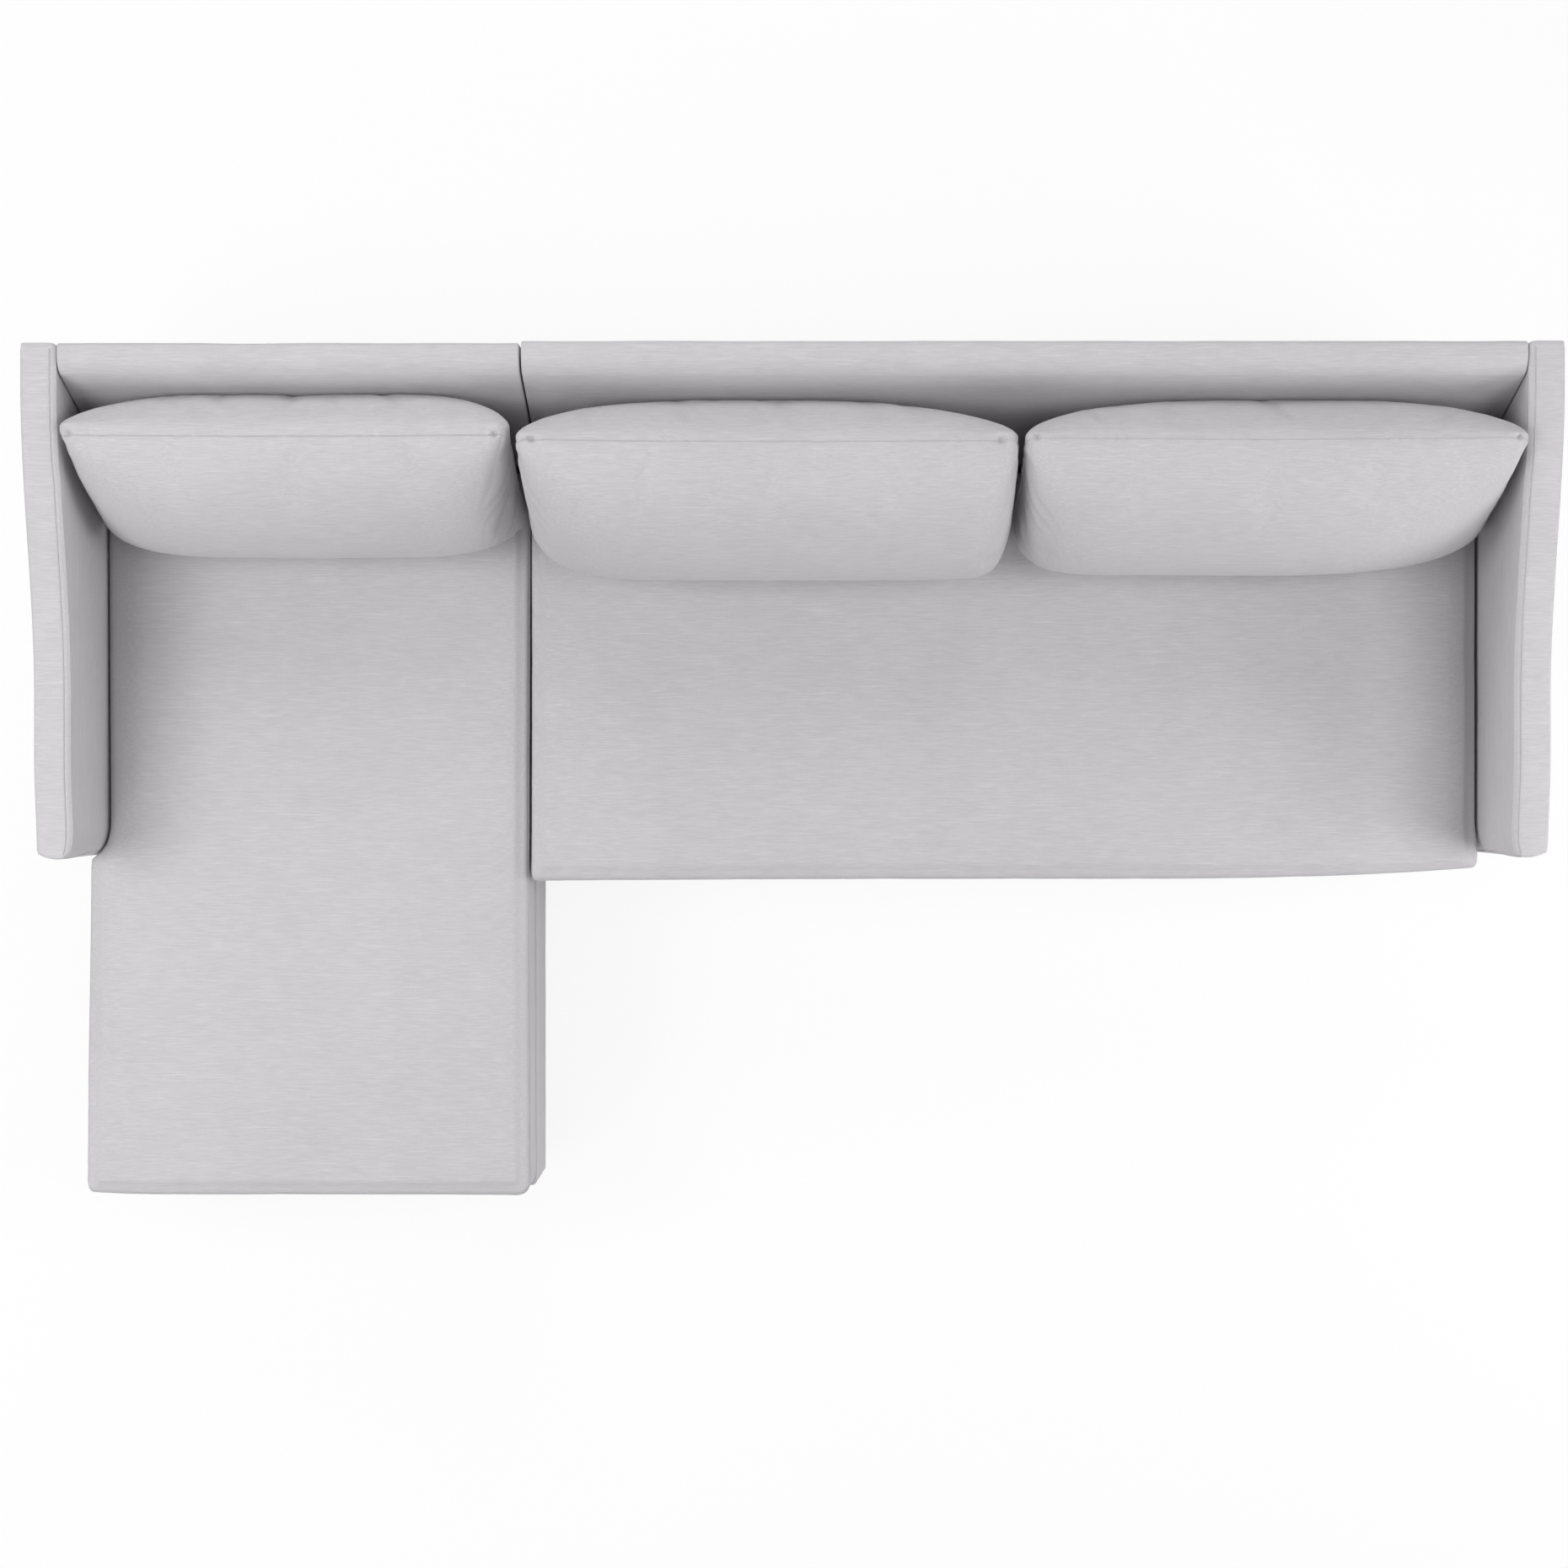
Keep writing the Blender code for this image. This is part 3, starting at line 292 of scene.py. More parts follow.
def add_object(name, data):
    """An object in the scene."""
    obj = bpy.data.objects.new(name, data)
    bpy.context.scene.collection.objects.link(obj)
    return obj


def add_piece(name, points, faces, material, body, replaced=(), angle=40):
    """A mesh piece that rides on a body, with its faces turned outwards."""
    mesh = bpy.data.meshes.new(name)
    mesh.from_pydata([tuple(p) for p in points], [], faces)
    form = bmesh.new()
    form.from_mesh(mesh)
    bmesh.ops.recalc_face_normals(form, faces=form.faces[:])
    if form.calc_volume(signed=True) < 0:
        bmesh.ops.reverse_faces(form, faces=form.faces[:])
    form.to_mesh(mesh)
    form.free()
    mesh.materials.append(material)
    obj = add_object(name, mesh)
    mesh.shade_smooth()
    mesh.set_sharp_from_angle(angle=math.radians(angle))
    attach(obj, body)
    if replaced:
        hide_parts(*replaced)
    return obj


def weld_points(obj):
    """Joins the points that lie on each other."""
    form = bmesh.new()
    form.from_mesh(obj.data)
    bmesh.ops.remove_doubles(form, verts=form.verts[:], dist=WELD)
    bmesh.ops.recalc_face_normals(form, faces=form.faces[:])
    form.to_mesh(obj.data)
    form.free()


def read_vectors(mesh, attribute="co"):
    """A mesh's points, or its normals, as rows."""
    flat = np.zeros(len(mesh.vertices) * 3)
    mesh.vertices.foreach_get(attribute, flat)
    return flat.reshape(-1, 3)


def set_points(mesh, points):
    mesh.vertices.foreach_set("co", np.asarray(points, dtype=np.float64).ravel())
    mesh.update()


def evaluated_mesh(obj):
    """A copy of an object's mesh as its modifiers or its curve make it."""
    graph = bpy.context.evaluated_depsgraph_get()
    return bpy.data.meshes.new_from_object(obj.evaluated_get(graph))


def subdivide(obj):
    """Applies one smooth subdivision."""
    modifier = obj.modifiers.new("smooth", "SUBSURF")
    modifier.levels = 1
    modifier.render_levels = 1
    done = evaluated_mesh(obj)
    obj.modifiers.clear()
    old = obj.data
    obj.data = done
    bpy.data.meshes.remove(old)
    obj.data.shade_smooth()


def surface_tree(mesh):
    """A search tree of a mesh's faces."""
    form = bmesh.new()
    form.from_mesh(mesh)
    tree = BVHTree.FromBMesh(form)
    form.free()
    return tree


def seam(name, body, surface, path, material, radius=SEAM_RADIUS, closed=False, step=0.006):
    """A thin raised seam along a path that is drawn onto a piece's surface."""
    following = path[1:] + path[:1] if closed else path[1:]
    dense = []
    for a, b in zip(path, following):
        a, b = Vector(a), Vector(b)
        pieces = max(1, round((b - a).length / step))
        dense += [a.lerp(b, k / pieces) for k in range(pieces)]
    if not closed:
        dense.append(Vector(path[-1]))
    tree = surface_tree(surface.data)
    placed = []
    for point in dense:
        place, normal, _, _ = tree.find_nearest(point)
        placed.append(place + normal * radius * SEAM_LIFT)
    data = bpy.data.curves.new(name, "CURVE")
    data.dimensions = "3D"
    data.bevel_depth = radius
    data.bevel_resolution = 1
    data.use_fill_caps = not closed
    spline = data.splines.new("POLY")
    spline.points.add(len(placed) - 1)
    for point, place in zip(spline.points, placed):
        point.co = (*place, 1.0)
    spline.use_cyclic_u = closed
    data.materials.append(material)
    curve = add_object(name + "_path", data)
    mesh = evaluated_mesh(curve)
    bpy.data.objects.remove(curve)
    mesh.shade_smooth()
    obj = add_object(name, mesh)
    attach(obj, body)
    return obj


def principled(name, colour, roughness, metallic=0.0, sheen=0.0):
    """A plain material, with its node tree and its shader."""
    material = bpy.data.materials.new(name)
    material.use_nodes = True
    shader = material.node_tree.nodes["Principled BSDF"]
    for socket, value in (("Base Color", (*colour, 1.0)), ("Roughness", roughness), ("Metallic", metallic),
                          ("Sheen Weight", sheen), ("Sheen Roughness", 0.5), ("Specular IOR Level", 0.3)):
        shader.inputs[socket].default_value = value
    material.diffuse_color = (*colour, 1.0)
    return material, material.node_tree, shader


def math_node(tree, operation, *values):
    node = tree.nodes.new("ShaderNodeMath")
    node.operation = operation
    for socket, value in zip(node.inputs, values):
        if isinstance(value, (int, float)):
            socket.default_value = value
        else:
            tree.links.new(value, socket)
    return node.outputs[0]


def weighted_sum(tree, *terms):
    """Adds up textures, each times its weight."""
    total = None
    for value, weight in terms:
        part = math_node(tree, "MULTIPLY", value, weight)
        total = part if total is None else math_node(tree, "ADD", total, part)
    return total


def object_place(tree):
    return tree.nodes.new("ShaderNodeTexCoord").outputs["Object"]


def texture(tree, kind, vector, output="Fac", **inputs):
    """A texture node with these values on its sockets."""
    node = tree.nodes.new(kind)
    for socket, value in inputs.items():
        node.inputs[socket].default_value = value
    tree.links.new(vector, node.inputs["Vector"])
    return node, node.outputs[output]


def stretched(tree, vector, scale):
    """A vector with its three parts scaled, so that a texture runs long or short along an axis."""
    return texture(tree, "ShaderNodeMapping", vector, "Vector", Scale=scale)[1]


def noise(tree, vector, scale=1.0, detail=2.0, roughness=0.5, stretch=None):
    if stretch:
        vector = stretched(tree, vector, stretch)
    return texture(tree, "ShaderNodeTexNoise", vector, Scale=scale, Detail=detail, Roughness=roughness)[1]


def ranged(tree, value, low, high, new_low=0.0, new_high=1.0, smooth=True):
    """Maps a range of a value onto a new one."""
    node = tree.nodes.new("ShaderNodeMapRange")
    if smooth:
        node.interpolation_type = "SMOOTHSTEP"
    for socket, number in zip(list(node.inputs)[1:5], (low, high, new_low, new_high)):
        socket.default_value = number
    tree.links.new(value, node.inputs["Value"])
    return node.outputs["Result"]


def thread_vector(tree):
    """Object coordinates, turned on faces that look sideways so that their threads run front to back."""
    coord = tree.nodes.new("ShaderNodeTexCoord")
    place = tree.nodes.new("ShaderNodeSeparateXYZ")
    tree.links.new(coord.outputs["Object"], place.inputs[0])
    normal = tree.nodes.new("ShaderNodeSeparateXYZ")
    tree.links.new(coord.outputs["Normal"], normal.inputs[0])
    sideways = math_node(tree, "GREATER_THAN", math_node(tree, "ABSOLUTE", normal.outputs[0]), 0.75)
    turned = tree.nodes.new("ShaderNodeCombineXYZ")
    for source, target in ((1, 0), (0, 1), (2, 2)):
        tree.links.new(place.outputs[source], turned.inputs[target])
    choose = tree.nodes.new("ShaderNodeMix")
    choose.data_type = "VECTOR"
    tree.links.new(sideways, choose.inputs["Factor"])
    tree.links.new(coord.outputs["Object"], choose.inputs[4])
    tree.links.new(turned.outputs[0], choose.inputs[5])
    return choose.outputs[1]


def coloured(tree, shader, value, first, second):
    """Base colour between two tones."""
    mix = tree.nodes.new("ShaderNodeMix")
    mix.data_type = "RGBA"
    mix.inputs[6].default_value = (*first, 1.0)
    mix.inputs[7].default_value = (*second, 1.0)
    tree.links.new(value, mix.inputs["Factor"])
    tree.links.new(mix.outputs[2], shader.inputs["Base Color"])


def bumped(tree, shader, height, strength, distance):
    bump = tree.nodes.new("ShaderNodeBump")
    bump.inputs["Strength"].default_value = strength
    bump.inputs["Distance"].default_value = distance
    tree.links.new(height, bump.inputs["Height"])
    tree.links.new(bump.outputs["Normal"], shader.inputs["Normal"])


def thread_bands(tree, vector, direction, pitch):
    """Fine parallel threads, so far apart."""
    node, bands = texture(tree, "ShaderNodeTexWave", vector, Scale=0.314 / pitch, Distortion=0.6)
    node.bands_direction = direction
    return bands


def woven(name, colour, contrast, pitch, slub, sheen=0.15):
    """A woven cloth: thin slubs along the weft, a fine plain weave and a soft change of tone."""
    material, tree, shader = principled(name, colour, 0.92, sheen=sheen)
    vector = thread_vector(tree)
    fine = noise(tree, vector, detail=3.0, roughness=0.6, stretch=(28, 620, 620))
    long = noise(tree, vector, roughness=0.55, stretch=(9, 330, 330))
    warp = noise(tree, vector, stretch=(900, 40, 900))
    cloud = noise(tree, vector, scale=5.0, detail=3.0, roughness=0.6)
    streak = ranged(tree, fine, 0.36, 0.66)
    lone = ranged(tree, long, 0.56, 0.72)
    across = thread_bands(tree, vector, "X", pitch)
    along = thread_bands(tree, stretched(tree, vector, (0.0, 1.0, 1.0)), "DIAGONAL", pitch)
    weave = math_node(tree, "MULTIPLY", across, along)
    tone = weighted_sum(tree, (streak, 0.40 * slub), (lone, 0.30 * slub), (warp, 0.20), (cloud, 0.35),
                        (weave, 0.12))
    dark = [c * (1 - contrast) for c in colour]
    light = [min(1.0, c * (1 + contrast)) for c in colour]
    coloured(tree, shader, ranged(tree, tone, 0.15, 0.95, smooth=False), dark, light)
    height = weighted_sum(tree, (weave, 0.5), (streak, 0.6 * slub))
    bumped(tree, shader, height, 0.35, 0.0006)
    return material


def timber(name, light, dark):
    """Sawn frame wood with a straight grain and open pores."""
    material, tree, shader = principled(name, light, 0.62)
    coord = object_place(tree)
    grain = noise(tree, coord, detail=4.0, roughness=0.6, stretch=(6, 6, 90))
    node, rings = texture(tree, "ShaderNodeTexWave", stretched(tree, coord, (0.35, 0.35, 4.0)),
                          Scale=7.0, Distortion=5.0, Detail=2.0)
    node.wave_type = "RINGS"
    pores = noise(tree, coord, stretch=(60, 60, 700))
    tone = weighted_sum(tree, (grain, 0.55), (rings, 0.35))
    coloured(tree, shader, ranged(tree, tone, 0.2, 0.85, smooth=False), light, dark)
    tree.links.new(ranged(tree, grain, 0.3, 0.7, 0.5, 0.72, False), shader.inputs["Roughness"])
    bumped(tree, shader, pores, 0.25, 0.0004)
    return material


def moulded(name, colour, roughness):
    """Plastic with a fine leathery grain from its mould."""
    material, tree, shader = principled(name, colour, roughness)
    coord = object_place(tree)
    _, grain = texture(tree, "ShaderNodeTexVoronoi", coord, "Distance", Scale=900.0)
    scuffs = noise(tree, coord, 60.0, 4.0, 0.65)
    light = [min(1.0, c * 1.9 + 0.006) for c in colour]
    coloured(tree, shader, ranged(tree, scuffs, 0.5, 0.85), colour, light)
    dull = ranged(tree, scuffs, 0.3, 0.75, roughness - 0.06, roughness + 0.14)
    tree.links.new(dull, shader.inputs["Roughness"])
    bumped(tree, shader, grain, 0.2, 0.0003)
    return material


def plated(name, colour):
    """Zinc-plated steel with a faint rolled grain and dull spots."""
    material, tree, shader = principled(name, colour, 0.34, metallic=1.0)
    coord = object_place(tree)
    rolled = noise(tree, coord, detail=3.0, roughness=0.6, stretch=(500, 12, 500))
    spots = noise(tree, coord, 45.0, 4.0, 0.6)
    dark = [c * 0.8 for c in colour]
    coloured(tree, shader, ranged(tree, spots, 0.35, 0.7), dark, colour)
    tree.links.new(ranged(tree, spots, 0.3, 0.7, 0.28, 0.46), shader.inputs["Roughness"])
    bumped(tree, shader, rolled, 0.12, 0.0003)
    return material


# Cloths with their colour, contrast, thread pitch, share of slubs and sheen
FABRIC = woven("grey_fabric", (0.585, 0.570, 0.588), 0.11, 0.0011, 1.0)
SEAM = woven("seam_fabric", (0.53, 0.515, 0.533), 0.08, 0.0009, 0.6)
TICKING = woven("mattress_ticking", (0.80, 0.80, 0.78), 0.05, 0.0012, 0.5)
PIPING = woven("ticking_tape", (0.62, 0.62, 0.61), 0.06, 0.0008, 0.4)
WEBBING = woven("webbing", (0.36, 0.31, 0.24), 0.25, 0.0022, 0.6, 0.05)
STRAP = woven("pull_strap", (0.30, 0.29, 0.30), 0.18, 0.0016, 0.5, 0.05)
DUST = woven("dust_cloth", (0.035, 0.035, 0.036), 0.35, 0.0016, 0.3, 0.0)
WOOD = timber("plain_wood", (0.62, 0.47, 0.30), (0.44, 0.31, 0.18))
PLASTIC = moulded("black_plastic", (0.028, 0.028, 0.029), 0.42)
STEEL = plated("steel", (0.60, 0.60, 0.61))


def arm_height(y):
    """Height of an arm's top, as the solid has it."""
    y = np.asarray(y, dtype=float)
    rise = (BACK_TOP - ARM_PLATEAU) * ease((y - (ARM_RISE_END - ARM_RISE_LENGTH)) / ARM_RISE_LENGTH)
    return ARM_PLATEAU + rise - ARM_DROP * ease((ARM_FRONT + ARM_DROP_LENGTH - y) / ARM_DROP_LENGTH)


def arm_inner(y, z):
    """How far an arm's padding reaches past its plain thickness: full on top, squeezed beside the seat."""
    upper = ease((z - SEAT_TOP) / ARM_FULL_RISE)
    front = ARM_FULL * upper - ARM_SQUEEZE * (1 - upper)
    rear = ease((y - ARM_REAR_START) / ARM_REAR_LENGTH)
    return front * (1 - rear) + ARM_REAR_FULL * rear


def arm_corner(y):
    """How far an arm's inner face draws back at its rounded front corner."""
    near = np.clip(1 - (np.asarray(y, dtype=float) - ARM_FRONT) / ARM_CORNER_ALONG, 0, 1)
    return ARM_CORNER_ACROSS * corner_drop(near)


def make_arm(side, low, high):
    """An arm's upholstery: a band over its front, top and rear between two padded side panels."""
    way = 1 if side == "right" else -1
    thick = high.x - low.x
    inner_face = min(abs(low.x), abs(high.x))
    half = np.array((thick, high.y - low.y, BACK_TOP - FRAME_BOTTOM)) / 2
    middle_y = (high.y + low.y) / 2
    points, faces = lattice(16, 120, 84)
    points = eased_box(denser_edges(points, 0.32) * half, half, ARM_EDGES_LOW, ARM_EDGES_HIGH)
    y = points[:, 1] + middle_y
    across = points[:, 0] / half[0]
    up = points[:, 2] + half[2]
    full_height = 2 * half[2]
    tops = arm_height(y) - FRAME_BOTTOM
    near_top = ease((up - full_height + 0.05) / 0.04)
    height = up / full_height * tops * (1 - near_top) + (tops - full_height + up) * near_top
    z = FRAME_BOTTOM + height
    inwards = ease((1 - across) / 2)
    relief = np.abs(wobble(np.column_stack((points[:, 0], y, z)), 0.20, 0.0010, ARM_SEEDS[side]))
    front = middle_y - half[1]
    bow = 0.0057 * np.clip(across + 0.4, 0, None) ** 2 * ease((front + 0.09 - y) / 0.09)
    y = y + bow - ARM_FORWARD[side] * ease((front + 0.05 - y) / 0.05)
    lean = arm_inner(y, z) - relief
    drawn = arm_corner(y) * (1 - 0.45 * ease((z - SEAT_TOP) / 0.25))
    x = half[0] + points[:, 0] - inwards * lean + ((1 - across) / 2) * drawn
    crown = 0.0015 * across ** 2 * near_top
    made = np.column_stack((way * (inner_face + x), y, z - crown - relief * near_top * 0.5))
    arm = add_piece(f"{side}_arm_upholstery", made, faces, FABRIC, "sofa", (f"{side}_arm_cover",))
    for name, edge, drop in (("inner", 0.011, 0.0), ("outer", thick - 0.002, 0.010)):
        path = arm_seam_path(low, high, thick, edge, drop, name == "outer")
        path = [(way * (inner_face + x), y, z) for x, y, z in path]
        seam(f"{side}_arm_{name}_seam", "sofa", arm, path, SEAM)


def arm_seam_path(low, high, thick, edge, drop, down_rear):
    """A seam up an arm's front, along its top and perhaps down its rear; x counts from its inner face."""
    front, rear = low.y + 0.006, high.y - 0.012
    bottom = FRAME_BOTTOM + 0.012
    y = np.linspace(front, rear, 71)
    x = edge + (arm_corner(y) * 0.55 - arm_inner(y, 0.74)) * (1 - edge / thick)
    path = list(zip(x, y, arm_height(y) - drop))
    path.insert(0, (path[0][0], low.y - 0.003, bottom))
    path.insert(1, (path[1][0], low.y - 0.003, path[1][2] - 0.012))
    if down_rear:
        path.append((path[-1][0], high.y + 0.002, bottom))
    return path


def back_outline(step_back):
    """Side outline of a back's upholstery, every 12 mm or so, with its thin rear skin."""
    corners = [(BACK_FRONT + 0.004, BACK_SKIRT), (BACK_FRONT, BACK_SKIRT + 0.004), (BACK_FRONT, BACK_KNEE)]
    start = math.pi - BACK_SLANT
    for i in range(17):
        angle = start + (math.pi / 2 - start) * i / 16
        corners.append((SHOULDER_Y + SHOULDER_RADIUS * math.cos(angle),
                        SHOULDER_Z + SHOULDER_RADIUS * math.sin(angle)))
    for i in range(1, 7):
        drop_y, drop_z = edge_drop(BACK_REAR_RADIUS, math.pi / 2 * (1 - i / 6))
        corners.append((REAR - drop_y, BACK_TOP - drop_z))
    corners += [(REAR, FRAME_BOTTOM), (REAR - BACK_SKIN, FRAME_BOTTOM), (REAR - BACK_SKIN, BACK_SKIRT)]
    span = REAR - SLANT_END
    corners = [(y - step_back * max(0.0, (y - SLANT_END) / span), z) for y, z in corners]
    outline = []
    for a, b in zip(corners, corners[1:] + corners[:1]):
        pieces = max(1, round(math.dist(a, b) / BACK_STEP))
        for k in range(pieces):
            outline.append((a[0] + (b[0] - a[0]) * k / pieces, a[1] + (b[1] - a[1]) * k / pieces))
    return np.array(outline)


def back_stations(start, end):
    """Places across a back, each with how far its outline draws in there to round the ends."""
    drops = [edge_drop(BACK_END_EDGE, math.radians(angle)) for angle in (0, 22, 45, 67, 90)]
    stations = [(start + along, inwards) for along, inwards in drops]
    low, high = start + BACK_END_EDGE, end - BACK_END_EDGE
    spans = max(2, round((high - low) / 0.013))
    stations += [(low + (high - low) * i / spans, 0.0) for i in range(1, spans)]
    return stations + [(end - along, inwards) for along, inwards in reversed(drops)]


def make_back(name, low, high, step_back, replaced, seed):
    """A back's upholstery: one cloth from the seat up over the rounded top and down the rear."""
    base = back_outline(step_back)
    gaps = (BACK_ARM_GAP, BACK_JOIN_GAP) if step_back else (BACK_JOIN_GAP, BACK_ARM_GAP)
    stations = back_stations(low.x + gaps[0], high.x - gaps[1])
    around = np.roll(base, -1, axis=0) - np.roll(base, 1, axis=0)
    inwards = np.column_stack((around[:, 1], -around[:, 0]))
    inwards /= np.linalg.norm(inwards, axis=1, keepdims=True)
    thick = (base[:, 1] > BACK_SKIRT + 0.01).astype(float)
    skin = np.where((base[:, 0] > REAR - 0.012) & (base[:, 1] < BACK_SKIRT + 0.002), 0.0, 1.0)
    points = []
    for x, draw in stations:
        ring = np.column_stack((np.full(len(base), x), base))
        depth = draw * skin + thick * (0.0002 + np.abs(wobble(ring, 0.24, 0.0016, seed)))
        points.append(np.column_stack((ring[:, 0], base + inwards * depth[:, None])))
    faces = tube_faces(len(stations), len(base))
    back = add_piece(name, np.concatenate(points), faces, FABRIC, "sofa", replaced)


def cushion_points(low, high, left, front, rolled, corners):
    """A box cushion's points: round edges, a crown, a rolled side beside an arm, and sides drawn in."""
    right, rear = high.x, high.y - CUSHION_INSET
    bottom, top = low.z + CUSHION_INSET / 2, high.z - CUSHION_INSET
    left_rear = value_at(left, rear)
    middle = np.array([(left_rear + right) / 2, 0.0, (bottom + top) / 2])
    front_middle = value_at(front, middle[0])
    middle[1] = (front_middle + rear) / 2
    half = np.array([right, rear, top]) - middle
    points, faces = lattice(*[max(4, round(size / CUSHION_CELL)) for size in high - low])
    low_side, high_side = CUSHION_SIDE_EDGES[rolled]
    points = eased_box(denser_edges(points, 0.8) * half, half, (low_side, CUSHION_EDGE, CUSHION_EDGE),
                       (high_side, CUSHION_EDGE, CUSHION_EDGE))
    across, along, up = (points / half).T
    crown = (1 - across ** 6) * (1 - np.clip(-along, 0, None) ** 6)
    points[:, 2] -= CUSHION_CROWN * (1 - crown) * np.clip(up, 0, None)
    radius = np.where(across < 0, corners[0], corners[1])
    plan = np.clip(np.abs(across) * half[0] - half[0] + radius, 0, None) / radius
    points[:, 1] += radius * corner_drop(plan) * np.clip(-along, 0, None) ** 6
    made = middle + points
    made[:, 1] += (front(made[:, 0]) - front_middle) * (1 - along) / 2
    made[:, 0] += (left(made[:, 1]) - left_rear) * (1 - across) / 2
    away = made[:, 0] - left(made[:, 1]) if rolled == "left" else right - made[:, 0]
    held = ease((made[:, 1] - ARM_FRONT + 0.02) / 0.09)
    roll = np.clip(1 - away / CUSHION_ROLL_WIDTH, 0, 1) ** 2
    made[:, 2] -= CUSHION_ROLL_DROP * roll * held * np.clip(up, 0, None) ** 0.7
    return made, faces


def chaise_left(y):
    """The chaise cushion's left side: beside the arm, and out past its front end."""
    inside = ARM_LEFT_HIGH.x - arm_corner(y) * 0.96
    flare = CHAISE_SIDE_FLARE * ease((ARM_FRONT - 0.05 - y) / 0.45)
    outside = CHAISE_SEAT_LOW.x + CHAISE_SIDE_INSET - flare
    return inside + (outside - inside) * ease((ARM_FRONT - 0.004 - y) / 0.012)


def chaise_front(x):
    """The chaise cushion's front, drawn back towards its left corner."""
    reach = np.clip(1 - (x - CHAISE_SEAT_LOW.x) / CHAISE_BOW_REACH, 0, 1)
    return CHAISE_SEAT_LOW.y - CUSHION_FULL + CHAISE_BOW_DEPTH * reach ** 3


def bench_left(y):
    return np.full_like(y, BENCH_LOW.x - CUSHION_FULL)


def bench_front(x):
    """The bench cushion's front, which bows back towards the right arm."""
    middle = (BENCH_LOW.x + BENCH_HIGH.x) / 2
    reach = np.clip((x - middle) / (BENCH_HIGH.x - middle), 0, 1)
    return BENCH_LOW.y - CUSHION_FULL + BENCH_BOW * reach ** BENCH_BOW_POWER


def make_cushion(name, low, high, left, front, rolled, corners):
    """A seat cushion, before it is blown up."""
    points, faces = cushion_points(low, high, left, front, rolled, corners)
    body = name + "_cushion"
    piece = add_piece(body + "_cover", points, faces, FABRIC, body, (name + "_seat_cushion",), angle=180)
    return piece, low, high, body, left, front, rolled


def pillow_surface(low, high, seat, foot, bulge, powers, u, v):
    """Points of one panel of a pillow that stands on the seat and leans on the back."""
    middle = (low + high) / 2
    half_width = (high - low) / 2
    half = PILLOW_LENGTH / 2
    thick = np.sqrt(np.clip(1 - np.abs(u) ** np.where(u < 0, *powers), 0, None))
    thick = thick * np.sqrt(np.clip(1 - np.abs(v) ** 2.3, 0, None))
    corner = np.clip(np.abs(v) * half - half + PILLOW_CORNER, 0, None) / PILLOW_CORNER
    cut = PILLOW_DRAW * (1 - v * v) + PILLOW_CORNER * corner_drop(corner)
    x = u * (half_width - cut)
    along = v * (half - PILLOW_DRAW * (1 - u * u))
    out = thick * bulge
    y = foot + half * LEAN_SIN + along * LEAN_SIN - out * LEAN_COS
    z = seat + half * LEAN_COS + along * LEAN_COS + out * LEAN_SIN
    return np.column_stack((middle + x, y, z))


def back_face(z):
    """The front of the back's upholstery at a height."""
    return BACK_FRONT + BACK_SLOPE * np.clip(z - BACK_KNEE, 0, None)


def make_pillow(name, seat, foot, bulge, powers, sewing):
    """A pillow of two panels that meet in one seam all round, before it is blown up."""
    node, body = name + "_back_pillow", name + "_pillow"
    low, high = box_of(node)
    columns = round((high.x - low.x) / PILLOW_CELL)
    rows = round(PILLOW_LENGTH / PILLOW_CELL)
    index = {}

    def at(i, j, side):
        edge = i in (0, columns) or j in (0, rows)
        return index.setdefault((i, j, 0 if edge else side), len(index))

    faces = []
    for side, i, j in product((1, -1), range(columns), range(rows)):
        face = [at(i, j, side), at(i + 1, j, side), at(i + 1, j + 1, side), at(i, j + 1, side)]
        faces.append(face if side > 0 else face[::-1])
    i, j, side = np.array(list(index)).T
    u = np.sin((2 * i / columns - 1) * math.pi / 2)
    v = np.sin((2 * j / rows - 1) * math.pi / 2)
    front = pillow_surface(low.x, high.x, seat, foot, bulge * PILLOW_THIN, powers[:2], u, v)
    rear = pillow_surface(low.x, high.x, seat, foot, -PILLOW_REAR_BULGE * PILLOW_THIN, powers[2:], u, v)
    points = np.where((side >= 0)[:, None], front, rear)
    points[:, 2] = np.maximum(points[:, 2], seat + SKIN)
    points[:, 1] = np.minimum(points[:, 1], back_face(points[:, 2]) - 2 * SKIN)
    piece = add_piece(body + "_cover", points, faces, FABRIC, body, (node,), angle=180)
    pins = piece.vertex_groups.new(name="seam")
    pins.add(np.flatnonzero(side == 0).tolist(), 1.0, "REPLACE")
    return piece, low, high, body, seat, foot, sewing


def add_cloth(piece, pinned):
    """A cloth modifier that swells a piece, which a pillow's seam holds where it is."""
    cloth = piece.modifiers.new("cloth", "CLOTH")
    settings = cloth.settings
    for name, value in CLOTH_SETTINGS.items():
        setattr(settings, name, value)
    settings.effector_weights.gravity = 0.0
    cloth.collision_settings.use_collision = False
    cloth.point_cache.frame_start = 1
    cloth.point_cache.frame_end = CLOTH_FRAMES
    if pinned:
        settings.vertex_group_mass = "seam"
        settings.pin_stiffness = 2.0


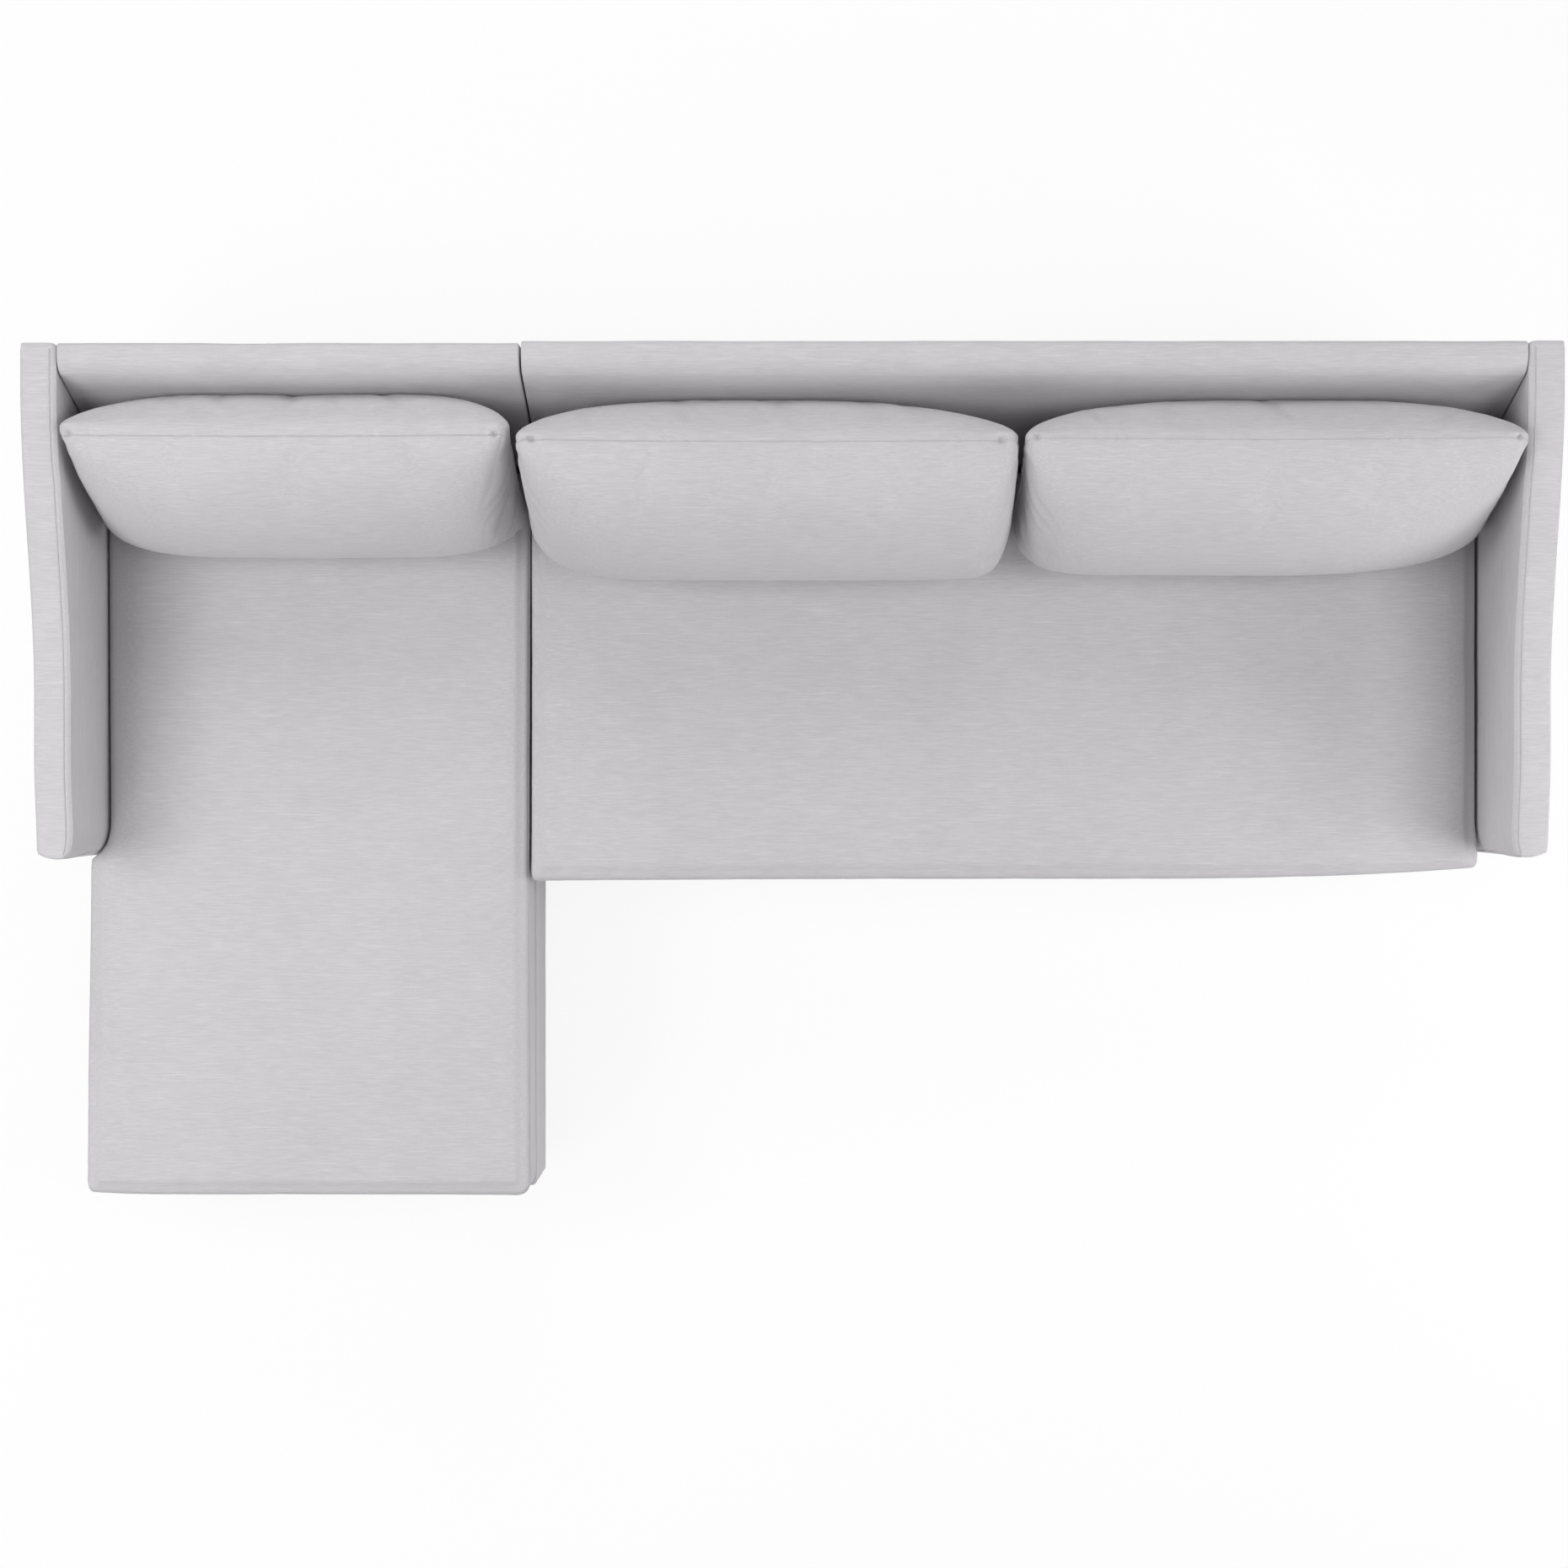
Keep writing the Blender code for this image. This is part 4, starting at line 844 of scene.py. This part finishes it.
def blow_up(pieces):
    """Runs one cloth simulation for all the padded pieces, and limits how far their points move."""
    scene = bpy.context.scene
    starts = {}
    for piece, cap, pinned in pieces:
        starts[piece.name] = read_vectors(piece.data)
        add_cloth(piece, pinned)
    for number in range(1, CLOTH_FRAMES + 1):
        scene.frame_set(number)
    graph = bpy.context.evaluated_depsgraph_get()
    for piece, cap, pinned in pieces:
        start = starts[piece.name]
        shift = read_vectors(piece.evaluated_get(graph).data) - start
        if not pinned:
            side = np.minimum(start - start.min(axis=0), start.max(axis=0) - start)[:, :2].min(axis=1)
            shift[:, :2] *= CUSHION_SHARE
            shift[:, 2] *= CUSHION_SHARE + (1 - CUSHION_SHARE) * ease(side / CUSHION_BAND)
        length = np.linalg.norm(shift, axis=1, keepdims=True)
        shift *= np.minimum(1.0, cap / np.maximum(length, 1e-9))
        piece.modifiers.clear()
        set_points(piece.data, start + shift)
    scene.frame_set(1)


def finish_cushion(piece, low, high, body, left, front, rolled):
    """Keeps a seat cushion clear of what stands round it, and sews its edges."""
    points = read_vectors(piece.data)
    limit_right = high.x + (0.0 if rolled == "right" else 0.0005)
    points[:, 0] = np.clip(points[:, 0], left(points[:, 1]) - 0.0005, limit_right)
    points[:, 1] = np.clip(points[:, 1], front(points[:, 0]) - 0.001, high.y)
    points[:, 2] = np.clip(points[:, 2], low.z, high.z + 0.002)
    set_points(piece.data, points)
    start = value_at(left, value_at(front, low.x) + 0.03) + 0.004
    end = high.x - 0.004
    rear_left = value_at(left, high.y)
    for name, z in (("top", high.z - 0.020), ("bottom", low.z + 0.016)):
        front_xs = np.linspace(start, end, 121)
        path = [(x, y - 0.01, z) for x, y in zip(front_xs, front(front_xs))]
        side_ys = np.linspace(path[-1][1] + 0.012, high.y - 0.02, 120)
        path += [(high.x + 0.01, y, z) for y in side_ys]
        path += [(x, high.y + 0.01, z) for x in np.linspace(high.x - 0.01, rear_left + 0.01, 100)]
        path += [(x - 0.01, y, z) for x, y in zip(left(side_ys)[::-1], side_ys[::-1])]
        seam(f"{piece.name}_{name}_seam", body, piece, path, SEAM, closed=True, step=0.008)


def soften_rim(piece, points, rim, low, high):
    """Evens out the crease where a pillow's two panels meet, except at its four tips."""
    edges = np.array([edge.vertices[:] for edge in piece.data.edges])
    reach = np.min(np.linalg.norm(points[:, None, :] - points[rim][None, ::3, :], axis=2), axis=1)
    inside = np.clip(np.minimum(points[:, 0] - low.x, high.x - points[:, 0]) / 0.05, 0, 1)
    share = (np.clip(1 - reach / 0.045, 0, 1) * inside)[:, None]
    for _ in range(7):
        total = np.zeros_like(points)
        count = np.zeros(len(points))
        for a, b in ((0, 1), (1, 0)):
            np.add.at(total, edges[:, a], points[edges[:, b]])
            np.add.at(count, edges[:, a], 1)
        points = points + (total / count[:, None] - points) * share * 0.6
    return points


def sew_details(piece, low, high, seat, foot, sewing):
    """Dimples where the seam ends at the tips, gathers beside it, and folds at a pillow's ends."""
    seam_y, inset_left, inset_right, left_folds, right_folds = sewing
    mesh = piece.data
    points = read_vectors(mesh)
    along = (points[:, 1] - foot) * LEAN_SIN + (points[:, 2] - seat) * LEAN_COS
    out = (points[:, 2] - seat) * LEAN_SIN - (points[:, 1] - foot) * LEAN_COS
    x = points[:, 0]
    gathers = (1 - np.abs(np.sin(x * 75 + 2.2 * np.sin(x * 37 + foot * 90)))) ** 1.6
    gathers = gathers * np.clip(0.3 + np.sin(x * 23 + foot * 50), 0, None)
    near_seam = np.exp(-np.abs(points[:, 1] - seam_y) / GATHER_REACH)
    depth = -GATHER_DEPTH * gathers * near_seam * ease((along - 0.30) / 0.10)
    front = ease((out + 0.02) / 0.05)
    for distance, strength, side in ((x - low.x, left_folds, 1), (high.x - x, right_folds, -1)):
        turn = (0.6 * along + 1.25 * distance) * 85 + 1.3 * np.sin(along * 33 + 3 * side + foot * 60)
        fold = (1 - np.abs(np.sin(turn + 0.8 * np.sin(distance * 90)))) ** 1.2
        near_end = np.exp(-(np.clip(distance - 0.014, 0, None) / 0.036) ** 2)
        depth -= strength * fold * near_end * front * (0.5 + 0.5 * np.sin(along * 9))
    tree = surface_tree(mesh)
    for tip_x in (low.x + inset_left, high.x - inset_right):
        tip, _, _, _ = tree.find_nearest(Vector((tip_x, seam_y, high.z)))
        near = (((points - np.array(tip)) / DIMPLE_SIZE) ** 2).sum(axis=1)
        depth -= DIMPLE_DEPTH * np.exp(-near)
    set_points(mesh, points + read_vectors(mesh, "normal") * depth[:, None])


def finish_pillow(piece, low, high, body, seat, foot, sewing):
    """Keeps a pillow clear of the back, the seat and its neighbours, and sews its rim."""
    rim = [v.index for v in piece.data.vertices if v.groups]
    points = soften_rim(piece, read_vectors(piece.data), rim, low, high)
    points[:, 0] = np.clip(points[:, 0], low.x, high.x)
    points[:, 2] = np.maximum(points[:, 2], seat + SKIN / 2)
    points[:, 1] = np.minimum(points[:, 1], back_face(points[:, 2]) - SKIN)
    set_points(piece.data, points)
    ordered = [points[i] for i in order_rim(piece, rim)]
    pull = max(p[1] for p in ordered) - sewing[0]
    path = [(p[0], p[1] - pull * float(ease((p[2] - seat - 0.30) / 0.08)), p[2]) for p in ordered]
    subdivide(piece)
    sew_details(piece, low, high, seat, foot, sewing)
    seam(piece.name + "_seam", body, piece, path, SEAM, radius=0.0010, closed=True, step=0.02)


def order_rim(piece, rim):
    """The rim's points in their order round the pillow."""
    rim = set(rim)
    links = {i: [] for i in rim}
    for edge in piece.data.edges:
        a, b = edge.vertices
        if a in rim and b in rim:
            links[a].append(b)
            links[b].append(a)
    order = [min(rim)]
    seen = set(order)
    while True:
        following = [i for i in links[order[-1]] if i not in seen]
        if not following:
            return order
        order.append(following[0])
        seen.add(following[0])


def base_plan():
    """The base cover's outer line in plan, and for each of its points one on its inner line."""
    left_low, left_high = box_of("chaise_left_cover")
    front_low, front_high = box_of("chaise_front_cover")
    right_low, right_high = box_of("chaise_right_cover")
    radius = BASE_RADIUS
    outer, inner = [], []

    def straight(a, b, c, d):
        pieces = max(1, round(math.dist(a, b) / 0.02))
        for k in range(pieces):
            t = k / pieces
            outer.append((a[0] + (b[0] - a[0]) * t, a[1] + (b[1] - a[1]) * t))
            inner.append((c[0] + (d[0] - c[0]) * t, c[1] + (d[1] - c[1]) * t))

    def corner(cx, cy, start, place):
        for k in range(7):
            angle = math.radians(start + 90 * k / 7)
            outer.append((cx + radius * math.cos(angle), cy + radius * math.sin(angle)))
            inner.append(place)

    x0, x1 = left_low.x, right_high.x
    y0 = front_low.y - BASE_FULL
    inner_left, inner_right = (left_high.x, front_high.y), (right_low.x, front_high.y)
    straight((x0, left_high.y), (x0, y0 + radius), (left_high.x, left_high.y), inner_left)
    corner(x0 + radius, y0 + radius, 180, inner_left)
    straight((x0 + radius, y0), (x1 - radius, y0), inner_left, inner_right)
    corner(x1 - radius, y0 + radius, 270, inner_right)
    straight((x1, y0 + radius), (x1, right_high.y), inner_right, (right_low.x, right_high.y))
    outer.append((x1, right_high.y))
    inner.append((right_low.x, right_high.y))
    return outer, inner


def make_base_wrap():
    """The cloth round the chaise's base: one padded strip along its left side, front and right side."""
    outer, inner = base_plan()
    bottom, top = [corner.z for corner in box_of("chaise_left_cover")]
    drops = [edge_drop(BASE_EDGE, math.radians(90 * k / 4)) for k in range(5)]
    section = [(depth, bottom + rise) for depth, rise in reversed(drops)]
    for k in range(1, BASE_LEVELS):
        section.append((0.0, bottom + BASE_EDGE + (top - bottom - 2 * BASE_EDGE) * k / BASE_LEVELS))
    section += [(depth, top - fall) for depth, fall in drops]
    points = []
    for (ox, oy), (ix, iy) in zip(outer, inner):
        out = Vector((ox - ix, oy - iy))
        length = out.length
        out = out / length
        for depth, z in section:
            sag = abs(float(wobble(np.array([[ox, oy, z]]), 0.15, 0.0012, 11)[0]))
            reach = length - depth - sag
            points.append((ix + out.x * reach, iy + out.y * reach, z))
        points.append((ix, iy, top))
        points.append((ix, iy, bottom))
    faces = tube_faces(len(outer), len(section) + 2)
    wrap = add_piece("chaise_base_upholstery", points, faces, FABRIC, "sofa",
                     ("chaise_left_cover", "chaise_front_cover", "chaise_right_cover"))
    weld_points(wrap)


def make_bed_front():
    """The padded cloth on the bed's front board."""
    low, high = box_of("bed_front_cover")
    half, middle = (high - low) / 2, (high + low) / 2
    points, faces = lattice(150, 5, 22)
    points = eased_box(points * np.array(half), half, 0.007, 0.007)
    inwards = np.abs(wobble(points, 0.19, 0.0014, 21))
    points[:, 1] += np.where(points[:, 1] < 0, inwards, -SKIN)
    points = points + np.array(middle)
    front = add_piece("bed_front_upholstery", points, faces, FABRIC, "bed", ("bed_front_cover",))


def make_pull_strap():
    """The strap that hangs from the bed's front board, folded round at its lower end."""
    low, high = box_of("bed_pull_strap")
    rear = high.y
    section = []
    for k in range(13):
        angle = math.radians(-180 + 180 * k / 12)
        section.append((rear - 0.0032 + 0.0028 * math.cos(angle), low.z + 0.0035 + 0.0030 * math.sin(angle)))
    profile = [(rear - 0.0030, high.z)] + section + [(rear - 0.0002, high.z)]
    width, middle_x = high.x - low.x, (low.x + high.x) / 2
    columns = 12
    points = []
    for i in range(columns + 1):
        x = middle_x - width / 2 + width * i / columns
        rim = 0.0004 if i in (0, columns) else 0.0
        for y, z in profile:
            points.append((x, y + (rim if y < rear - 0.0016 else -rim), z))
    faces = tube_faces(columns + 1, len(profile))
    add_piece("bed_pull_tab", points, faces, STRAP, "bed", ("bed_pull_strap",))


def make_mattress():
    """The bed's mattress, quilted in diamonds, with a tape round its upper and lower edge."""
    low, high = box_of("bed_mattress")
    half, middle = (high - low) / 2, (high + low) / 2
    size = np.array(half)
    points, faces = lattice(224, 96, 14)
    points = eased_box(points * size, size, 0.02, 0.02)
    inside = np.clip((1 - np.abs(points / size)) * size / 0.05, 0, 1)[:, :2].prod(axis=1)
    first = np.abs(np.sin((points[:, 0] + points[:, 1]) * math.pi / QUILT_PITCH))
    second = np.abs(np.sin((points[:, 0] - points[:, 1]) * math.pi / QUILT_PITCH))
    puff = np.minimum(first, second) ** 0.45
    level = np.abs(points[:, 2]) > half.z - 0.004
    depth = QUILT_DEPTH * (1 - puff) * ease(inside)
    points[:, 2] -= np.sign(points[:, 2]) * np.where(level, depth, 0)
    side = np.clip(1 - np.abs(points[:, 2] / half.z) ** 4, 0, 1)
    points[:, :2] *= 1 - 0.0025 * (1 - side)[:, None]
    mattress = add_piece("bed_mattress_cover", points + np.array(middle), faces, TICKING, "bed",
                         ("bed_mattress",), 180)
    radius = 0.03
    x1, y1 = half.x + 0.004 - radius, half.y + 0.004 - radius
    for name, z in (("top", half.z - 0.012), ("bottom", 0.012 - half.z)):
        path = []
        for cx, cy, start in ((x1, y1, 0), (-x1, y1, 90), (-x1, -y1, 180), (x1, -y1, 270)):
            for k in range(7):
                angle = math.radians(start + 15 * k)
                path.append((middle.x + cx + radius * math.cos(angle),
                             middle.y + cy + radius * math.sin(angle), middle.z + z))
        tape = seam(f"bed_mattress_{name}_tape", "bed", mattress, path, PIPING, radius=0.0032,
                    closed=True, step=0.01)


def make_webbing(name, node):
    """Interlaced straps across a seat's base."""
    low, high = box_of(node)
    middle_z = (low.z + high.z) / 2
    wave = (high.z - low.z - STRAP_THICKNESS) / 2 * 0.95
    inside = [high[axis] - low[axis] - STRAP_WIDTH for axis in (0, 1)]
    counts = [max(1, round(length / (STRAP_WIDTH + STRAP_SPACE))) for length in inside]
    points, faces = [], []
    for axis, other in ((0, 1), (1, 0)):
        pitch = inside[other] / counts[other]
        steps = counts[axis] * STRAP_STEPS
        for strap in range(counts[other] + 1):
            start = low[other] + strap * pitch
            faces += tube_faces(steps + 1, 4, len(points))
            for k in range(steps + 1):
                along = low[axis] + STRAP_WIDTH / 2 + inside[axis] * k / steps
                if k in (0, steps):
                    along = high[axis] if k else low[axis]
                phase = math.cos(math.pi * (k / STRAP_STEPS + strap + (0 if axis else 1)))
                z = middle_z + wave * phase
                for side, up in ((0, -1), (1, -1), (1, 1), (0, 1)):
                    place = [0.0, 0.0, z + up * STRAP_THICKNESS / 2]
                    place[axis] = along
                    place[other] = start + side * STRAP_WIDTH
                    points.append(tuple(place))
    add_piece(name, points, faces, WEBBING, "sofa", (node,), 50)


def make_dust_cover():
    """The thin cloth under the chaise, sagging a little between its rails."""
    low, high = box_of("chaise_dust_cover")
    points, faces = lattice(40, 64, 1)
    across, along, up = (points.T + 1) / 2
    x, y = low.x + (high.x - low.x) * across, low.y + (high.y - low.y) * along
    wave = wobble(np.column_stack((x, y, 0 * x)), 0.3, 0.25, 31)
    hang = np.sin(math.pi * across) * np.sin(math.pi * along) * (0.75 + wave)
    z = high.z - DUST_THICKNESS * (1 - up) - (high.z - low.z - DUST_THICKNESS) * hang
    points = np.column_stack((x, y, z))
    cloth = add_piece("chaise_dust_cloth", points, faces, DUST, "sofa", ("chaise_dust_cover",))


def finish_nodes():
    """Detailed materials on the solids that stay."""
    looks = {"plain_wood": WOOD, "black_plastic": PLASTIC, "steel": STEEL}
    for part in frame["record"]["subparts"]:
        look = looks.get(part["material_slot"])
        if look is None:
            continue
        node = frame["nodes"][part["node"]]
        node.data.materials.clear()
        node.data.materials.append(look)
        for polygon in node.data.polygons:
            polygon.material_index = 0


def make_camera():
    data = bpy.data.cameras.new("camera")
    data.sensor_width = SENSOR_WIDTH
    data.lens = FOCAL_PIXELS / IMAGE_SIZE * SENSOR_WIDTH
    camera = add_object("camera", data)
    camera.location = (CAMERA_X, 0.0, CAMERA_HEIGHT)
    bpy.context.scene.camera = camera


def seen_directly(tree):
    """1 for what the camera, a reflection or a clear material shows, and 0 for light on surfaces."""
    path = tree.nodes.new("ShaderNodeLightPath")
    through = math_node(tree, "MAXIMUM", path.outputs["Is Glossy Ray"], path.outputs["Is Transmission Ray"])
    return math_node(tree, "MAXIMUM", path.outputs["Is Camera Ray"], through)


def make_floor():
    """A pale floor that looks nearly white and keeps the shadow."""
    material = bpy.data.materials.new("floor")
    material.use_nodes = True
    tree = material.node_tree
    shader = tree.nodes["Principled BSDF"]
    shader.inputs["Base Color"].default_value = FLOOR_COLOUR
    shader.inputs["Roughness"].default_value = 0.9
    glow = tree.nodes.new("ShaderNodeEmission")
    mix = tree.nodes.new("ShaderNodeMixShader")
    tree.links.new(math_node(tree, "MULTIPLY", seen_directly(tree), FLOOR_GLOW), mix.inputs[0])
    tree.links.new(shader.outputs[0], mix.inputs[1])
    tree.links.new(glow.outputs[0], mix.inputs[2])
    tree.links.new(mix.outputs[0], tree.nodes["Material Output"].inputs["Surface"])
    mesh = bpy.data.meshes.new("floor")
    corners = [(x * FLOOR_HALF, y * FLOOR_HALF, 0) for x, y in ((-1, -1), (1, -1), (1, 1), (-1, 1))]
    mesh.from_pydata(corners, [], [(0, 1, 2, 3)])
    mesh.materials.append(material)
    floor = add_object("floor", mesh)
    floor.location.z = -FLOOR_DROP


def make_lights():
    """A white surround that lights the object softly, and the studio's lamps."""
    world = bpy.data.worlds.new("studio")
    world.use_nodes = True
    tree = world.node_tree
    background = tree.nodes["Background"]
    extra = math_node(tree, "MULTIPLY", seen_directly(tree), 1.0 - WORLD_LIGHT)
    tree.links.new(math_node(tree, "ADD", extra, WORLD_LIGHT), background.inputs["Strength"])
    background.inputs["Color"].default_value = (1.0, 1.0, 1.0, 1.0)
    bpy.context.scene.world = world
    for name, place, target, size, power in LAMPS:
        data = bpy.data.lights.new(name, "AREA")
        data.shape = "DISK"
        data.size = size
        data.energy = power
        lamp = add_object(name, data)
        lamp.location = place
        direction = Vector(target) - Vector(place)
        lamp.rotation_euler = direction.to_track_quat("-Z", "Y").to_euler()


make_camera()
make_floor()
make_lights()
bpy.context.scene.view_settings.view_transform = "Standard"

make_arm("left", ARM_LEFT_LOW, ARM_LEFT_HIGH)
make_arm("right", ARM_RIGHT_LOW, ARM_RIGHT_HIGH)
make_back("chaise_back_upholstery", CHAISE_BACK_LOW, CHAISE_BACK_HIGH, REAR - CHAISE_BACK_HIGH.y,
          ("chaise_back_cover", "chaise_back_foam"), 13)
make_back("sofa_back_upholstery", BACK_LOW, BACK_HIGH, 0.0, ("sofa_back_cover", "sofa_back_foam"), 17)
make_base_wrap()
make_bed_front()
make_pull_strap()
make_mattress()
make_webbing("chaise_seat_webbing", "chaise_webbing")
make_webbing("sofa_seat_webbing", "sofa_webbing")
make_dust_cover()
finish_nodes()

cushions = [
    make_cushion("chaise", CHAISE_SEAT_LOW, CHAISE_SEAT_HIGH, chaise_left, chaise_front, "left",
                 CHAISE_CORNERS),
    make_cushion("bench", BENCH_LOW, BENCH_HIGH, bench_left, bench_front, "right", BENCH_CORNERS),
]
pillows = [make_pillow(name, *sizes) for name, sizes in PILLOWS.items()]
blow_up([(made[0], CUSHION_CAP, False) for made in cushions]
        + [(made[0], PILLOW_CAP, True) for made in pillows])
for made in cushions:
    finish_cushion(*made)
for made in pillows:
    finish_pillow(*made)
